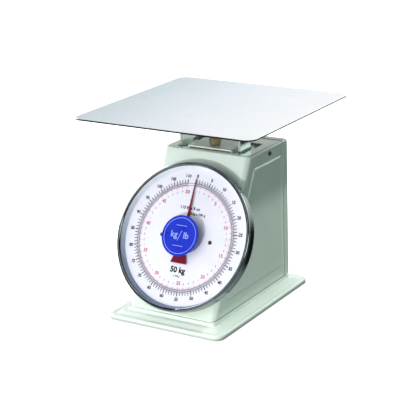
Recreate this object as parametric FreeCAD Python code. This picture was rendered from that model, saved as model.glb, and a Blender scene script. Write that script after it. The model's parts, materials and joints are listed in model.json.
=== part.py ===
import FreeCAD, Part
import os
from math import acos, asin, cos, pi, radians, sin, sqrt, tan

V = FreeCAD.Vector
AXIS_X = V(1, 0, 0)
AXIS_Y = V(0, 1, 0)
AXIS_Z = V(0, 0, 1)

# ---------------------------------------------------------------------------
# Driving dimensions, in millimetres. +Z is up, -Y is the dial side, and the
# origin is on the table under the middle of the platform.
# ---------------------------------------------------------------------------
LOAD_Y = 5.0                 # line of the load, the springs and the platform's middle

# Platform
PLATFORM_SIZE = 300.0
PLATFORM_TOP = 298.0
PLATFORM_SHEET = 1.5
PLATFORM_CORNER = 16.0
PLATFORM_RIM = 2.2
PLATFORM_EDGE_RADIUS = 1.0

# Base
BASE_HALF_X = 97.0
BASE_FRONT = -155.0
BASE_BACK = 117.0
BASE_CORNER = 13.0
BASE_SHEET = 1.2
BASE_EDGE_Z = 0.4            # lower edge of the rim, just clear of the table
BASE_HEM = 3.0               # width of the rim's turned-in lower edge
PLINTH_Z = 16.0              # flat round the housing
LAND_Z = 18.5                # raised land that the housing and the frame stand on
LAND_INSET = 26.0

# Housing
HOUSING_HALF_X = 74.0
HOUSING_TOP = 234.5
HOUSING_BACK = 92.8
HOUSING_SHEET = 1.2
FRONT_FOOT_Y = -132.5        # the sloping front, taken down to FRONT_FOOT_Z
FRONT_FOOT_Z = 15.5
TILT = 27.2                  # lean of the front face, in degrees from upright
FRONT_EDGE_RADIUS = 9.0
TOP_EDGE_RADIUS = 4.0
REAR_EDGE_RADIUS = 2.0
HOUSING_FLANGE = 9.0

# Dial: s is measured out of the front face, u up it and x across it
DIAL_UP_FACE = 115.0
DIAL_PLATE_RADIUS = 104.0
DIAL_FACE_S = 6.7
DIAL_VISIBLE_RADIUS = 101.8
GLASS_RADIUS = 105.8
GLASS_S = 14.6
BEZEL_RADIUS = 110.8
BEZEL_BARREL_RADIUS = 110.0
BEZEL_FRONT_S = 17.7
LENS_APEX_S = 21.0
LENS_SHEET = 1.8
BADGE_RADIUS = 30.3
BADGE_SHEET = 0.9

# Travel: 50 kg moves the platform by LOAD_TRAVEL and the pointer by 350 degrees
POINTER_SWEEP = 350.0
PINION_TEETH = 10
MODULE = 0.6
PRESSURE_ANGLE = 20.0
PROFILE_SHIFT = 0.41
BACKLASH = 0.10

# Load frame
LEG_X0 = 48.0
LEG_X1 = 52.0
LEG_Y0 = -8.0
LEG_Y1 = 22.0
LEG_FOOT_Z = 50.0
LEG_TOP_Z = 292.0
YOKE_Y0 = -1.0
YOKE_Y1 = 15.0
YOKE_Z0 = 82.0
YOKE_Z1 = 90.0
SPRING_Y = 7.0
SPRING_X = 18.0
SPRING_MEAN_RADIUS = 10.5
SPRING_WIRE_RADIUS = 1.5
SPRING_TURNS = 25

# Check links, which keep the platform level
LINK_LENGTH = 46.0
LINK_REAR_Y = 43.0
LINK_UPPER_Z = 200.0
LINK_LOWER_Z = 50.0
LINK_X0 = 41.0
LINK_X1 = 44.0
LINK_SHAFT_RADIUS = 3.0
LINK_PIN_RADIUS = 2.5

# Main frame inside the housing
FRAME_HALF_X = 37.0
FRAME_SHEET = 2.0
FRAME_TOP = 237.4
FRAME_FRONT_S = -10.0
FRAME_BACK_Y = 50.0
BRIDGE_FRONT_Y = -9.5

# Running clearances
SHAFT_GAP = 0.05
SLIP_GAP = 0.10

# ---------------------------------------------------------------------------
# Worked out from them
# ---------------------------------------------------------------------------
TAN_TILT = tan(radians(TILT))
COS_TILT = cos(radians(TILT))
SIN_TILT = sin(radians(TILT))
PITCH_RADIUS = MODULE * PINION_TEETH / 2
RACK_PITCH = pi * MODULE
RACK_TRAVEL = PITCH_RADIUS * radians(POINTER_SWEEP)
LOAD_TRAVEL = RACK_TRAVEL * COS_TILT
LINK_TILT = asin(LOAD_TRAVEL / 2 / LINK_LENGTH)


def face_y(z):
    """Depth of the housing's front face at height z."""
    return FRONT_FOOT_Y + (z - FRONT_FOOT_Z) * TAN_TILT


DIAL_CENTRE = V(0, FRONT_FOOT_Y + DIAL_UP_FACE * SIN_TILT, FRONT_FOOT_Z + DIAL_UP_FACE * COS_TILT)
DIAL_FRAME = FreeCAD.Placement(DIAL_CENTRE, FreeCAD.Rotation(AXIS_X, 90 - TILT))


# ---------------------------------------------------------------------------
# Shape helpers
# ---------------------------------------------------------------------------
def box(x0, x1, y0, y1, z0, z1):
    """Block between two corners."""
    return Part.makeBox(x1 - x0, y1 - y0, z1 - z0, V(x0, y0, z0))


def rod(radius, start, end):
    """Round bar from one point to another."""
    run = end.sub(start)
    return Part.makeCylinder(radius, run.Length, start, run)


def fuse(shapes):
    """One solid from touching or overlapping ones."""
    return shapes[0].multiFuse(shapes[1:]).removeSplitter()


def on_dial(shape):
    """Carry a shape drawn as (x, u, s) to its place on the sloping front."""
    moved = shape.copy()
    moved.Placement = DIAL_FRAME.multiply(moved.Placement)
    return moved


def corner_wire(points, radius, place):
    """Closed outline through points with round corners; place maps (a, b) into space."""
    edges = []
    last = None
    first = None
    count = len(points)
    for i in range(count):
        here = V(points[i][0], points[i][1], 0)
        before = V(points[i - 1][0], points[i - 1][1], 0).sub(here).normalize()
        after = V(points[(i + 1) % count][0], points[(i + 1) % count][1], 0).sub(here).normalize()
        half = acos(max(-1.0, min(1.0, before.dot(after)))) / 2
        enter = here + before * (radius / tan(half))
        leave = here + after * (radius / tan(half))
        middle = here + (before + after).normalize() * (radius / sin(half) - radius)
        if last is None:
            first = enter
        else:
            edges.append(Part.LineSegment(place(last), place(enter)).toShape())
        edges.append(Part.Arc(place(enter), place(middle), place(leave)).toShape())
        last = leave
    edges.append(Part.LineSegment(place(last), place(first)).toShape())
    return Part.Wire(edges)


def rounded_rectangle(x0, x1, y0, y1, z, radius):
    """Level outline of a rectangle with round corners."""
    points = [(x0, y0), (x1, y0), (x1, y1), (x0, y1)]
    return corner_wire(points, radius, lambda p: V(p.x, p.y, z))


def rounded_plate(x0, x1, y0, y1, z0, z1, radius):
    """Level plate with round corners."""
    return Part.Face(rounded_rectangle(x0, x1, y0, y1, z0, radius)).extrude(V(0, 0, z1 - z0))


def side_plate(points, x0, x1):
    """Plate drawn in the (y, z) plane, from x0 to x1."""
    wire = Part.makePolygon([V(x0, y, z) for y, z in points + points[:1]])
    return Part.Face(wire).extrude(V(x1 - x0, 0, 0))


def turned(points):
    """Solid of revolution about the local s axis from (radius, s) points."""
    wire = Part.makePolygon([V(r, 0, s) for r, s in points + points[:1]])
    return Part.Face(wire).revolve(V(0, 0, 0), AXIS_Z, 360)


def drill(radius, spot, s0, s1):
    """Cutter through a plate that lies from s0 to s1 along the local s axis."""
    return rod(radius, V(spot.x, spot.y, s0 - 1), V(spot.x, spot.y, s1 + 1))


def screw(seat, direction, head_radius, head_height, shank_radius, shank_length):
    """Slotted round-head screw; seat is under the head, direction points along the shank."""
    edge = head_height * 0.45
    shoulder = head_radius * 0.72
    outline = [
        Part.LineSegment(V(0, 0, -head_height), V(shoulder, 0, -head_height)).toShape(),
        Part.Arc(
            V(shoulder, 0, -head_height),
            V(head_radius * 0.93, 0, -(head_height + edge) / 2),
            V(head_radius, 0, -edge * 0.5),
        ).toShape(),
        Part.LineSegment(V(head_radius, 0, -edge * 0.5), V(head_radius, 0, 0)).toShape(),
        Part.LineSegment(V(head_radius, 0, 0), V(shank_radius, 0, 0)).toShape(),
        Part.LineSegment(V(shank_radius, 0, 0), V(shank_radius, 0, shank_length)).toShape(),
        Part.LineSegment(V(shank_radius, 0, shank_length), V(0, 0, shank_length)).toShape(),
        Part.LineSegment(V(0, 0, shank_length), V(0, 0, -head_height)).toShape(),
    ]
    body = Part.Face(Part.Wire(outline)).revolve(V(0, 0, 0), AXIS_Z, 360)
    slot_half = head_radius * 0.14
    slot = box(-head_radius, head_radius, -slot_half, slot_half, -head_height - 1, -head_height * 0.5)
    body = body.cut(slot)
    body.Placement = FreeCAD.Placement(seat, FreeCAD.Rotation(AXIS_Z, direction))
    return body


def screws(seats, direction, head_radius, head_height, shank_radius, shank_length):
    """Group of identical screws as separate solids."""
    made = [screw(s, direction, head_radius, head_height, shank_radius, shank_length) for s in seats]
    return Part.makeCompound(made)


def mirrored_points(xs, ys, z):
    """Every (+-x, y, z) of a pattern that is the same left and right."""
    return [V(side * x, y, z) for side in (-1, 1) for x in xs for y in ys]


# ---------------------------------------------------------------------------
# Base
# ---------------------------------------------------------------------------
BASE_PROFILE = [             # distance drawn in and height: rim, bead, valley, skirt, ledge, plinth
    (0.0, BASE_EDGE_Z), (0.0, 5.0), (0.5, 6.5), (1.7, 7.5), (3.2, 7.8), (4.7, 7.4), (6.2, 7.0), (8.0, 7.2),
    (14.6, 10.4), (16.2, 10.9), (20.6, 11.1), (21.5, 11.5), (21.9, 12.3), (22.1, 15.4), (22.4, PLINTH_Z),
]
LAND_UNDER_Z = LAND_Z - BASE_SHEET
BASE_CORNER_TAPER = 0.35     # corner radius lost for each millimetre drawn in
BASE_CORNER_LEAST = 3.0
FOOT_SPOTS = [("front", -108.0), ("back", 74.0)]
FOOT_X = 56.0
FOOT_RADIUS = 10.0
FOOT_BORE_RADIUS = 4.6
FOOT_SEAT_Z = 7.0
FOOT_SCREW_RADIUS = 1.9
HOUSING_SCREW_X = 65.5
HOUSING_SCREW_YS = [-95.0, 60.0]
FRAME_SCREW_X = 42.0
FRAME_SCREW_YS = [-80.0, 30.0]
SCREW_RADIUS = 1.9


def base_outline(inset, z):
    """Outline of the base drawn in by inset, at height z."""
    radius = max(BASE_CORNER - BASE_CORNER_TAPER * inset, BASE_CORNER_LEAST)
    return rounded_rectangle(
        -BASE_HALF_X + inset, BASE_HALF_X - inset, BASE_FRONT + inset, BASE_BACK - inset, z, radius)


def base_block(inset):
    """Solid under the base's outer skin, drawn in and down by inset."""
    skirt = Part.makeLoft([base_outline(i + inset, z - inset) for i, z in BASE_PROFILE], True, True)
    outline = base_outline(LAND_INSET + inset, BASE_EDGE_Z + 1)
    land = Part.Face(outline).extrude(V(0, 0, LAND_Z - BASE_EDGE_Z - 1 - inset))
    return fuse([skirt, land])


def base_pan():
    """Pressed tray: upright rim, sloping skirt, plinth and raised land."""
    pan = base_block(0.0).cut(base_block(BASE_SHEET))
    hem = Part.Face(base_outline(0.0, BASE_EDGE_Z)).extrude(V(0, 0, BASE_SHEET))
    hem = hem.cut(Part.Face(base_outline(BASE_HEM, BASE_EDGE_Z - 1)).extrude(V(0, 0, BASE_SHEET + 2)))
    pan = fuse([pan, hem])
    holes = mirrored_points([FOOT_X], [y for _, y in FOOT_SPOTS], 0)
    holes += mirrored_points([HOUSING_SCREW_X], HOUSING_SCREW_YS, 0)
    holes += mirrored_points([FRAME_SCREW_X], FRAME_SCREW_YS, 0)
    for spot in holes:
        pan = pan.cut(rod(SCREW_RADIUS, spot, spot + V(0, 0, LAND_Z + 1)))
    return pan


def rubber_foot(x, y):
    """Tall rubber button with a counterbored screw hole, tapered towards the table."""
    body = Part.makeCone(FOOT_RADIUS - 1.0, FOOT_RADIUS, LAND_UNDER_Z, V(x, y, 0))
    body = body.cut(rod(FOOT_BORE_RADIUS, V(x, y, 0), V(x, y, FOOT_SEAT_Z)))
    return body.cut(rod(FOOT_SCREW_RADIUS, V(x, y, 0), V(x, y, LAND_UNDER_Z)))


def base_parts():
    parts = {"base_pan": base_pan()}
    for end, y in FOOT_SPOTS:
        for side, x in (("left", -FOOT_X), ("right", FOOT_X)):
            parts["rubber_foot_%s_%s" % (end, side)] = rubber_foot(x, y)
    foot_seats = mirrored_points([FOOT_X], [y for _, y in FOOT_SPOTS], FOOT_SEAT_Z)
    parts["foot_screws"] = screws(foot_seats, AXIS_Z, 4.2, 2.5, FOOT_SCREW_RADIUS, 15.0)
    seats = mirrored_points([HOUSING_SCREW_X], HOUSING_SCREW_YS, LAND_UNDER_Z)
    parts["housing_base_screws"] = screws(seats, AXIS_Z, 3.5, 2.4, SCREW_RADIUS, 7.0)
    seats = mirrored_points([FRAME_SCREW_X], FRAME_SCREW_YS, LAND_UNDER_Z)
    parts["frame_base_screws"] = screws(seats, AXIS_Z, 3.5, 2.4, SCREW_RADIUS, 7.0)
    return parts


# ---------------------------------------------------------------------------
# Housing and back cover
# ---------------------------------------------------------------------------
TOP_OPENING_HALF_X = 57.5
TOP_OPENING_Y0 = -12.0
TOP_OPENING_Y1 = 52.0
PANEL_TOP = 213.5            # raised panel pressed out of each side
PANEL_BOTTOM = 38.0
PANEL_REAR = 79.0
PANEL_FRONT_DEPTH = 19.0     # square distance from the front face to the panel
PANEL_RISE = 1.6
PANEL_BEVEL = 2.0
PANEL_REAR_BEVEL = 10.0
PANEL_SINK = 0.25            # share of the rise by which a panel block enters the wall
PANEL_CORNER = 5.0
FRONT_HOLE_RADIUS = 55.0
SIDE_SCREW_Y = 39.0
SIDE_SCREW_Z = 225.0
COVER_SHEET = 1.2
COVER_WRAP = 13.0            # how far the back cover's flanges lap the housing
COVER_SCREW_X = 66.0
COVER_SCREW_ZS = [30.0, 126.0, 222.0]


def edges_where(shape, test):
    """Edges whose middle point passes the test."""
    return [e for e in shape.Edges if test(e)]


def housing_block(inset):
    """Solid of the housing's outline, drawn in by inset on every side."""
    half = HOUSING_HALF_X - inset
    bottom = LAND_Z + inset
    top = HOUSING_TOP - inset
    back = HOUSING_BACK - inset
    shift = inset / COS_TILT
    outline = [
        (face_y(bottom) + shift, bottom), (face_y(top) + shift, top), (back, top), (back, bottom)]
    block = side_plate(outline, -half, half)

    def along_front(edge):
        run = edge.Vertexes[1].Point.sub(edge.Vertexes[0].Point)
        return abs(run.x) < 1e-6 and abs(run.y) > 1 and abs(run.z) > 1

    def round_rear(edge):
        box_ = edge.BoundBox
        upright = box_.ZLength > 10 and box_.YLength < 1e-3
        return abs(box_.YMin - back) < 1e-3 and upright

    def round_top(edge):
        box_ = edge.BoundBox
        return abs(box_.ZMin - top) < 1e-3 and abs(box_.ZMax - top) < 1e-3

    block = block.makeFillet(FRONT_EDGE_RADIUS - inset, edges_where(block, along_front))
    if REAR_EDGE_RADIUS > inset:
        block = block.makeFillet(REAR_EDGE_RADIUS - inset, edges_where(block, round_rear))
    front_and_sides = [e for e in edges_where(block, round_top) if e.BoundBox.YMax < back + 1
                       and not e.BoundBox.YMin > back - REAR_EDGE_RADIUS - 0.1]
    return block.makeFillet(TOP_EDGE_RADIUS - inset, front_and_sides)


def panel_outline(side, x, k, shrink):
    """Outline of a side panel at rise fraction k, drawn in by shrink."""
    top = PANEL_TOP - PANEL_BEVEL * k - shrink
    bottom = PANEL_BOTTOM + PANEL_BEVEL * k + shrink
    rear = PANEL_REAR - PANEL_REAR_BEVEL * k - shrink
    shift = (PANEL_FRONT_DEPTH + PANEL_BEVEL * k + shrink) / COS_TILT
    points = [
        (face_y(bottom) + shift, bottom), (rear, bottom), (rear, top), (face_y(top) + shift, top)]
    return corner_wire(points, PANEL_CORNER, lambda p: V(side * x, p.x, p.y))


def side_panel(side, inset, shrink):
    """Low block with sloped edges that stands on one side of a block drawn in by inset."""
    foot = HOUSING_HALF_X - inset
    wires = [
        panel_outline(side, foot - PANEL_RISE * PANEL_SINK, -PANEL_SINK, shrink),
        panel_outline(side, foot + PANEL_RISE, 1.0, shrink),
    ]
    return Part.makeLoft(wires, True, True)


def housing():
    """Wrap of front, top and two sides, with flanges turned in at the bottom and the back."""
    sheet = HOUSING_SHEET
    outside = housing_block(0.0)
    inside = housing_block(sheet)
    for side in (-1, 1):
        outside = outside.fuse(side_panel(side, 0.0, 0.0))
        inside = inside.fuse(side_panel(side, sheet, sheet / 2))
    shell = outside.cut(inside)
    half = HOUSING_HALF_X - sheet - HOUSING_FLANGE
    front = face_y(LAND_Z) + sheet / COS_TILT + HOUSING_FLANGE
    back = HOUSING_BACK - sheet - HOUSING_FLANGE
    shell = shell.cut(rounded_plate(-half, half, front, back, LAND_Z - 1, LAND_Z + 4, 6))
    rear_top = HOUSING_TOP - sheet - HOUSING_FLANGE
    rear_bottom = LAND_Z + sheet + HOUSING_FLANGE
    shell = shell.cut(box(-half, half, HOUSING_BACK - 3, HOUSING_BACK + 1, rear_bottom, rear_top))
    shell = shell.cut(rounded_plate(
        -TOP_OPENING_HALF_X, TOP_OPENING_HALF_X, TOP_OPENING_Y0, TOP_OPENING_Y1,
        HOUSING_TOP - 4, HOUSING_TOP + 1, 4))
    shell = shell.cut(on_dial(rod(FRONT_HOLE_RADIUS, V(0, 0, -4), V(0, 0, 1))))
    for spot in PAN_SCREW_SPOTS:
        shell = shell.cut(on_dial(rod(SCREW_RADIUS, V(spot.x, spot.y, -4), V(spot.x, spot.y, 1))))
    for side in (-1, 1):
        start = V(side * (HOUSING_HALF_X - 4), SIDE_SCREW_Y, SIDE_SCREW_Z)
        shell = shell.cut(rod(SCREW_RADIUS, start, start + V(side * 6, 0, 0)))
        for z in COVER_SCREW_ZS:
            start = V(side * COVER_SCREW_X, HOUSING_BACK - 4, z)
            shell = shell.cut(rod(SCREW_RADIUS, start, start + V(0, 6, 0)))
        for y in HOUSING_SCREW_YS:
            start = V(side * HOUSING_SCREW_X, y, LAND_Z - 1)
            shell = shell.cut(rod(SCREW_RADIUS, start, start + V(0, 0, 4)))
    return shell


def back_cover():
    """Shallow pan that closes the back and laps the sides and the top."""
    half = HOUSING_HALF_X + COVER_SHEET
    y0 = HOUSING_BACK - COVER_WRAP
    y1 = HOUSING_BACK + COVER_SHEET
    outside = box(-half, half, y0, y1, LAND_Z, HOUSING_TOP + COVER_SHEET)

    def rear_upright(edge):
        b = edge.BoundBox
        return b.YMin > y1 - 1e-3 and b.ZLength > 10

    def top_loop(edge):
        b = edge.BoundBox
        return b.ZMin > HOUSING_TOP + COVER_SHEET - 1e-3 and b.YMax > y0 + 1e-3

    outside = outside.makeFillet(REAR_EDGE_RADIUS + COVER_SHEET, edges_where(outside, rear_upright))
    outside = outside.makeFillet(TOP_EDGE_RADIUS + COVER_SHEET, edges_where(outside, top_loop))
    cover = outside.cut(housing_block(0.0))
    for side in (-1, 1):
        for z in COVER_SCREW_ZS:
            start = V(side * COVER_SCREW_X, HOUSING_BACK - 1, z)
            cover = cover.cut(rod(SCREW_RADIUS, start, start + V(0, 5, 0)))
    return cover


def housing_parts():
    seats = [V(side * COVER_SCREW_X, HOUSING_BACK + COVER_SHEET, z)
             for side in (-1, 1) for z in COVER_SCREW_ZS]
    side_screws = [
        screw(V(side * HOUSING_HALF_X, SIDE_SCREW_Y, SIDE_SCREW_Z), V(-side, 0, 0), 3.5, 2.2,
              SCREW_RADIUS, 7.0) for side in (-1, 1)]
    return {
        "housing": housing(),
        "back_cover": back_cover(),
        "back_cover_screws": screws(seats, V(0, -1, 0), 3.5, 2.2, SCREW_RADIUS, 7.0),
        "housing_side_screws": Part.makeCompound(side_screws),
    }


# ---------------------------------------------------------------------------
# Main frame, guide plate
# ---------------------------------------------------------------------------
BRIDGE_Z0 = FRAME_TOP - FRAME_SHEET
GUIDE_SHEET = 1.2
GUIDE_DROP = 2.2             # gap between the housing's top and the guide plate
GUIDE_Z1 = HOUSING_TOP - HOUSING_SHEET - GUIDE_DROP
GUIDE_Z0 = GUIDE_Z1 - GUIDE_SHEET
GUIDE_TAB_Y0 = 26.0
GUIDE_TAB_Y1 = 52.0
GUIDE_TAB_Z0 = 217.5
GUIDE_BEND = 2.5
GUIDE_CLEARANCE = 1.5
GUIDE_SCREW_X = 50.0
GUIDE_SCREW_Y = 44.0
ZERO_SCREW_RADIUS = 3.9
BRIDGE_HOLE_RADIUS = 4.3
FRAME_FOOT_X = 47.0
FRAME_FOOT_FRONT_Y = -100.0
FRAME_EAR_X = 58.0
FRAME_EAR_Y = 36.0
FRAME_TAB_X = 47.0
FRAME_TAB_HALF_U = 7.0
CHEEK_HOLES = [(10.0, 150.0, 20.0), (-45.0, 70.0, 20.0), (-70.0, 38.0, 10.0)]
PLATE_SCREW_X = 42.0
PLATE_SCREW_US = [-52.0, 52.0]
STOP_GAP = 0.7


def frame_cheek(side):
    """One upright side of the main frame, with its feet, ears and movement tabs."""
    x0 = min(side * (FRAME_HALF_X - FRAME_SHEET), side * FRAME_HALF_X)
    x1 = x0 + FRAME_SHEET
    shift = -FRAME_FRONT_S / COS_TILT
    outline = [
        (face_y(LAND_Z) + shift, LAND_Z), (face_y(BRIDGE_Z0) + shift, BRIDGE_Z0),
        (BRIDGE_FRONT_Y, BRIDGE_Z0 + 0.5), (BRIDGE_FRONT_Y, FRAME_TOP),
        (FRAME_BACK_Y, FRAME_TOP), (FRAME_BACK_Y, LAND_Z)]
    cheek = side_plate(outline, x0, x1)
    window_bottom = YOKE_Z0 - LOAD_TRAVEL - STOP_GAP
    cheek = cheek.cut(box(x0 - 1, x1 + 1, YOKE_Y0 - 3, YOKE_Y1 + 3, window_bottom, YOKE_Z1 + 3))
    for y, z, radius in CHEEK_HOLES:
        cheek = cheek.cut(rod(radius, V(x0 - 1, y, z), V(x1 + 1, y, z)))
    for z in (LINK_UPPER_Z, LINK_LOWER_Z):
        hole = rod(LINK_SHAFT_RADIUS + SHAFT_GAP, V(x0 - 1, LINK_REAR_Y, z), V(x1 + 1, LINK_REAR_Y, z))
        cheek = cheek.cut(hole)
    inner = side * (FRAME_HALF_X - FRAME_SHEET)
    foot_x = sorted((inner, side * FRAME_FOOT_X))
    ear_x = sorted((inner, side * FRAME_EAR_X))
    tab_x = sorted((inner, side * FRAME_TAB_X))
    pieces = [
        cheek,
        box(foot_x[0], foot_x[1], FRAME_FOOT_FRONT_Y, FRAME_BACK_Y, LAND_Z, LAND_Z + FRAME_SHEET),
        box(ear_x[0], ear_x[1], FRAME_EAR_Y, FRAME_BACK_Y, GUIDE_Z0 - FRAME_SHEET, GUIDE_Z0),
    ]
    for u in PLATE_SCREW_US:
        low = u - FRAME_TAB_HALF_U
        high = u + FRAME_TAB_HALF_U
        tab = box(tab_x[0], tab_x[1], low, high, FRAME_FRONT_S - FRAME_SHEET, FRAME_FRONT_S)
        pieces.append(on_dial(tab))
    return fuse(pieces)


def main_frame():
    """Inverted U of steel strip that carries the springs, the links and the movement."""
    inner = FRAME_HALF_X - FRAME_SHEET
    bridge = box(-inner, inner, BRIDGE_FRONT_Y, FRAME_BACK_Y, BRIDGE_Z0, FRAME_TOP)
    frame = fuse([frame_cheek(-1), bridge, frame_cheek(1)])
    frame = frame.cut(rod(BRIDGE_HOLE_RADIUS, V(0, SPRING_Y, BRIDGE_Z0 - 1), V(0, SPRING_Y, FRAME_TOP + 1)))
    for spot in mirrored_points([GUIDE_SCREW_X], [GUIDE_SCREW_Y], GUIDE_Z0 - 5):
        frame = frame.cut(rod(SCREW_RADIUS, spot, spot + V(0, 0, 6)))
    for spot in mirrored_points([FRAME_SCREW_X], FRAME_SCREW_YS, LAND_Z - 1):
        frame = frame.cut(rod(SCREW_RADIUS, spot, spot + V(0, 0, 5)))
    for spot in mirrored_points([PLATE_SCREW_X], PLATE_SCREW_US, FRAME_FRONT_S - 4):
        frame = frame.cut(on_dial(rod(SCREW_RADIUS, spot, spot + V(0, 0, 5))))
    return frame


def guide_plate():
    """Plate under the top opening that the legs pass through, with turned-down sides."""
    half = HOUSING_HALF_X - HOUSING_SHEET
    y0 = TOP_OPENING_Y0 - 3
    y1 = TOP_OPENING_Y1 + 6
    flat = half - TOP_EDGE_RADIUS
    pieces = [box(-flat - 1, flat + 1, y0, y1, GUIDE_Z0, GUIDE_Z1)]
    tab_top = GUIDE_Z0 - GUIDE_BEND
    for side in (-1, 1):
        low, high = sorted((side * (half - GUIDE_SHEET), side * half))
        pieces.append(box(low, high, GUIDE_TAB_Y0, GUIDE_TAB_Y1, GUIDE_TAB_Z0, tab_top + 0.5))
        bend = [(flat + 0.5, GUIDE_Z0), (half - GUIDE_SHEET, tab_top), (half, tab_top), (flat + 1, GUIDE_Z1)]
        wire = Part.makePolygon([V(side * x, GUIDE_TAB_Y0, z) for x, z in bend + bend[:1]])
        pieces.append(Part.Face(wire).extrude(V(0, GUIDE_TAB_Y1 - GUIDE_TAB_Y0, 0)))
    plate = fuse(pieces)
    gap = FRAME_HALF_X + GUIDE_CLEARANCE
    plate = plate.cut(box(-gap, gap, BRIDGE_FRONT_Y - 3, FRAME_BACK_Y + 2, GUIDE_Z0 - 1, GUIDE_Z1 + 1))
    for side in (-1, 1):
        low, high = sorted((side * (LEG_X0 - GUIDE_CLEARANCE), side * (LEG_X1 + GUIDE_CLEARANCE)))
        front = LEG_Y0 - GUIDE_CLEARANCE - 1
        plate = plate.cut(box(low, high, front, LEG_Y1 + GUIDE_CLEARANCE, GUIDE_Z0 - 1, GUIDE_Z1 + 1))
        start = V(side * (half - 3), SIDE_SCREW_Y, SIDE_SCREW_Z)
        plate = plate.cut(rod(SCREW_RADIUS, start, start + V(side * 5, 0, 0)))
    for spot in mirrored_points([GUIDE_SCREW_X], [GUIDE_SCREW_Y], GUIDE_Z0 - 1):
        plate = plate.cut(rod(SCREW_RADIUS, spot, spot + V(0, 0, 4)))
    return plate


def frame_parts():
    seats = mirrored_points([GUIDE_SCREW_X], [GUIDE_SCREW_Y], GUIDE_Z1)
    return {
        "main_frame": main_frame(),
        "guide_plate": guide_plate(),
        "guide_plate_screws": screws(seats, V(0, 0, -1), 3.6, 2.2, SCREW_RADIUS, 7.0),
    }


# ---------------------------------------------------------------------------
# Movement: plates, pointer shaft, pinion, rack and guide roller
# ---------------------------------------------------------------------------
PLATE_SHEET = 2.0
PLATE_BACK_S = FRAME_FRONT_S
PLATE_FRONT_S = PLATE_BACK_S + PLATE_SHEET
PLATE_HALF_X = 47.5
PLATE_HALF_U = 62.0
REAR_PLATE_S0 = -36.0
REAR_PLATE_S1 = REAR_PLATE_S0 + PLATE_SHEET
PILLAR_SPOTS = [V(-20, -1.5, 0), V(20, -1.5, 0), V(-20, 28, 0), V(20, 28, 0)]
PILLAR_RADIUS = 3.0
SHAFT_RADIUS = 1.5
PINION_S0 = -27.0
PINION_S1 = -19.0
BUSH_RADIUS = 4.0
FRONT_FLANGE = 2.5
REAR_FLANGE = 2.0
RACK_S0 = -25.0
RACK_S1 = -21.0
RACK_MIDLINE = PITCH_RADIUS + PROFILE_SHIFT * MODULE
RACK_ADDENDUM = 0.55
RACK_DEDENDUM = 0.65
RACK_BACK_X = 7.5
RACK_TOOTH_FIRST = -4
RACK_TOOTH_LAST = 14
RACK_PIN_RADIUS = 1.5
ROLLER_RADIUS = 4.0
ROLLER_S0 = -26.0
ROLLER_S1 = -20.0
ROLLER_X = RACK_BACK_X + ROLLER_RADIUS + SLIP_GAP
ROLLER_STUD_RADIUS = 2.0
ARM_X0 = 8.0
ARM_X1 = 11.0
PIN_Z = (YOKE_Z0 + YOKE_Z1) / 2
POST_RADIUS = 4.0
POST_SPOTS = [V(-39.2, -1.4, 0), V(43.5, -1.4, 0)]
HAND_S = 9.5
HAND_SHEET = 0.6
HAND_TIP = 88.5
HAND_TIP_HALF = 0.5
HAND_BLADE_HALF = 2.1        # at the edge of the badge
HAND_BLADE_U = 31.0
HAND_TAIL = -39.0
HAND_TAIL_HALF = 13.4
HUB_S0 = 7.6
HUB_S1 = 13.2
HUB_RADIUS = 6.5
HUB_NOSE_RADIUS = 3.0
HAND_EYE_RADIUS = 8.0
PAN_SCREW_SPOTS = [V(sx * 42.5, su * 42.5, 0) for sx in (-1, 1) for su in (-1, 1)]


def on_rack_line(z, s):
    """Point at height z on the line up the slope that lies s out of the front face."""
    base = DIAL_FRAME.multVec(V(0, 0, s))
    return V(0, base.y + (z - base.z) * TAN_TILT, z)


def pinion():
    """Ten-tooth involute pinion with a space facing the rack at rest."""
    base_radius = PITCH_RADIUS * cos(radians(PRESSURE_ANGLE))
    tip_radius = PITCH_RADIUS + MODULE * 1.25
    root_radius = PITCH_RADIUS + MODULE * (PROFILE_SHIFT - 1.25)
    involute_at_pitch = tan(radians(PRESSURE_ANGLE)) - radians(PRESSURE_ANGLE)
    thickness = MODULE * (pi / 2 + 2 * PROFILE_SHIFT * tan(radians(PRESSURE_ANGLE))) - BACKLASH
    half_at_pitch = thickness / (2 * PITCH_RADIUS)
    steps = 6
    flank = [(root_radius, half_at_pitch + involute_at_pitch)]
    for i in range(steps + 1):
        radius = base_radius + (tip_radius - base_radius) * i / steps
        angle = acos(base_radius / radius)
        flank.append((radius, half_at_pitch + involute_at_pitch - (tan(angle) - angle)))
    points = []
    for tooth in range(PINION_TEETH):
        middle = 2 * pi * (tooth + 0.5) / PINION_TEETH
        points += [(r, middle - half) for r, half in flank]
        points += [(r, middle + half) for r, half in reversed(flank)]
    corners = [V(r * cos(a), r * sin(a), 0) for r, a in points]
    wheel = Part.Face(Part.makePolygon(corners + corners[:1])).extrude(V(0, 0, PINION_S1 - PINION_S0))
    wheel.translate(V(0, 0, PINION_S0))
    return on_dial(wheel.cut(drill(SHAFT_RADIUS, V(0, 0, 0), PINION_S0, PINION_S1)))


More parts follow.
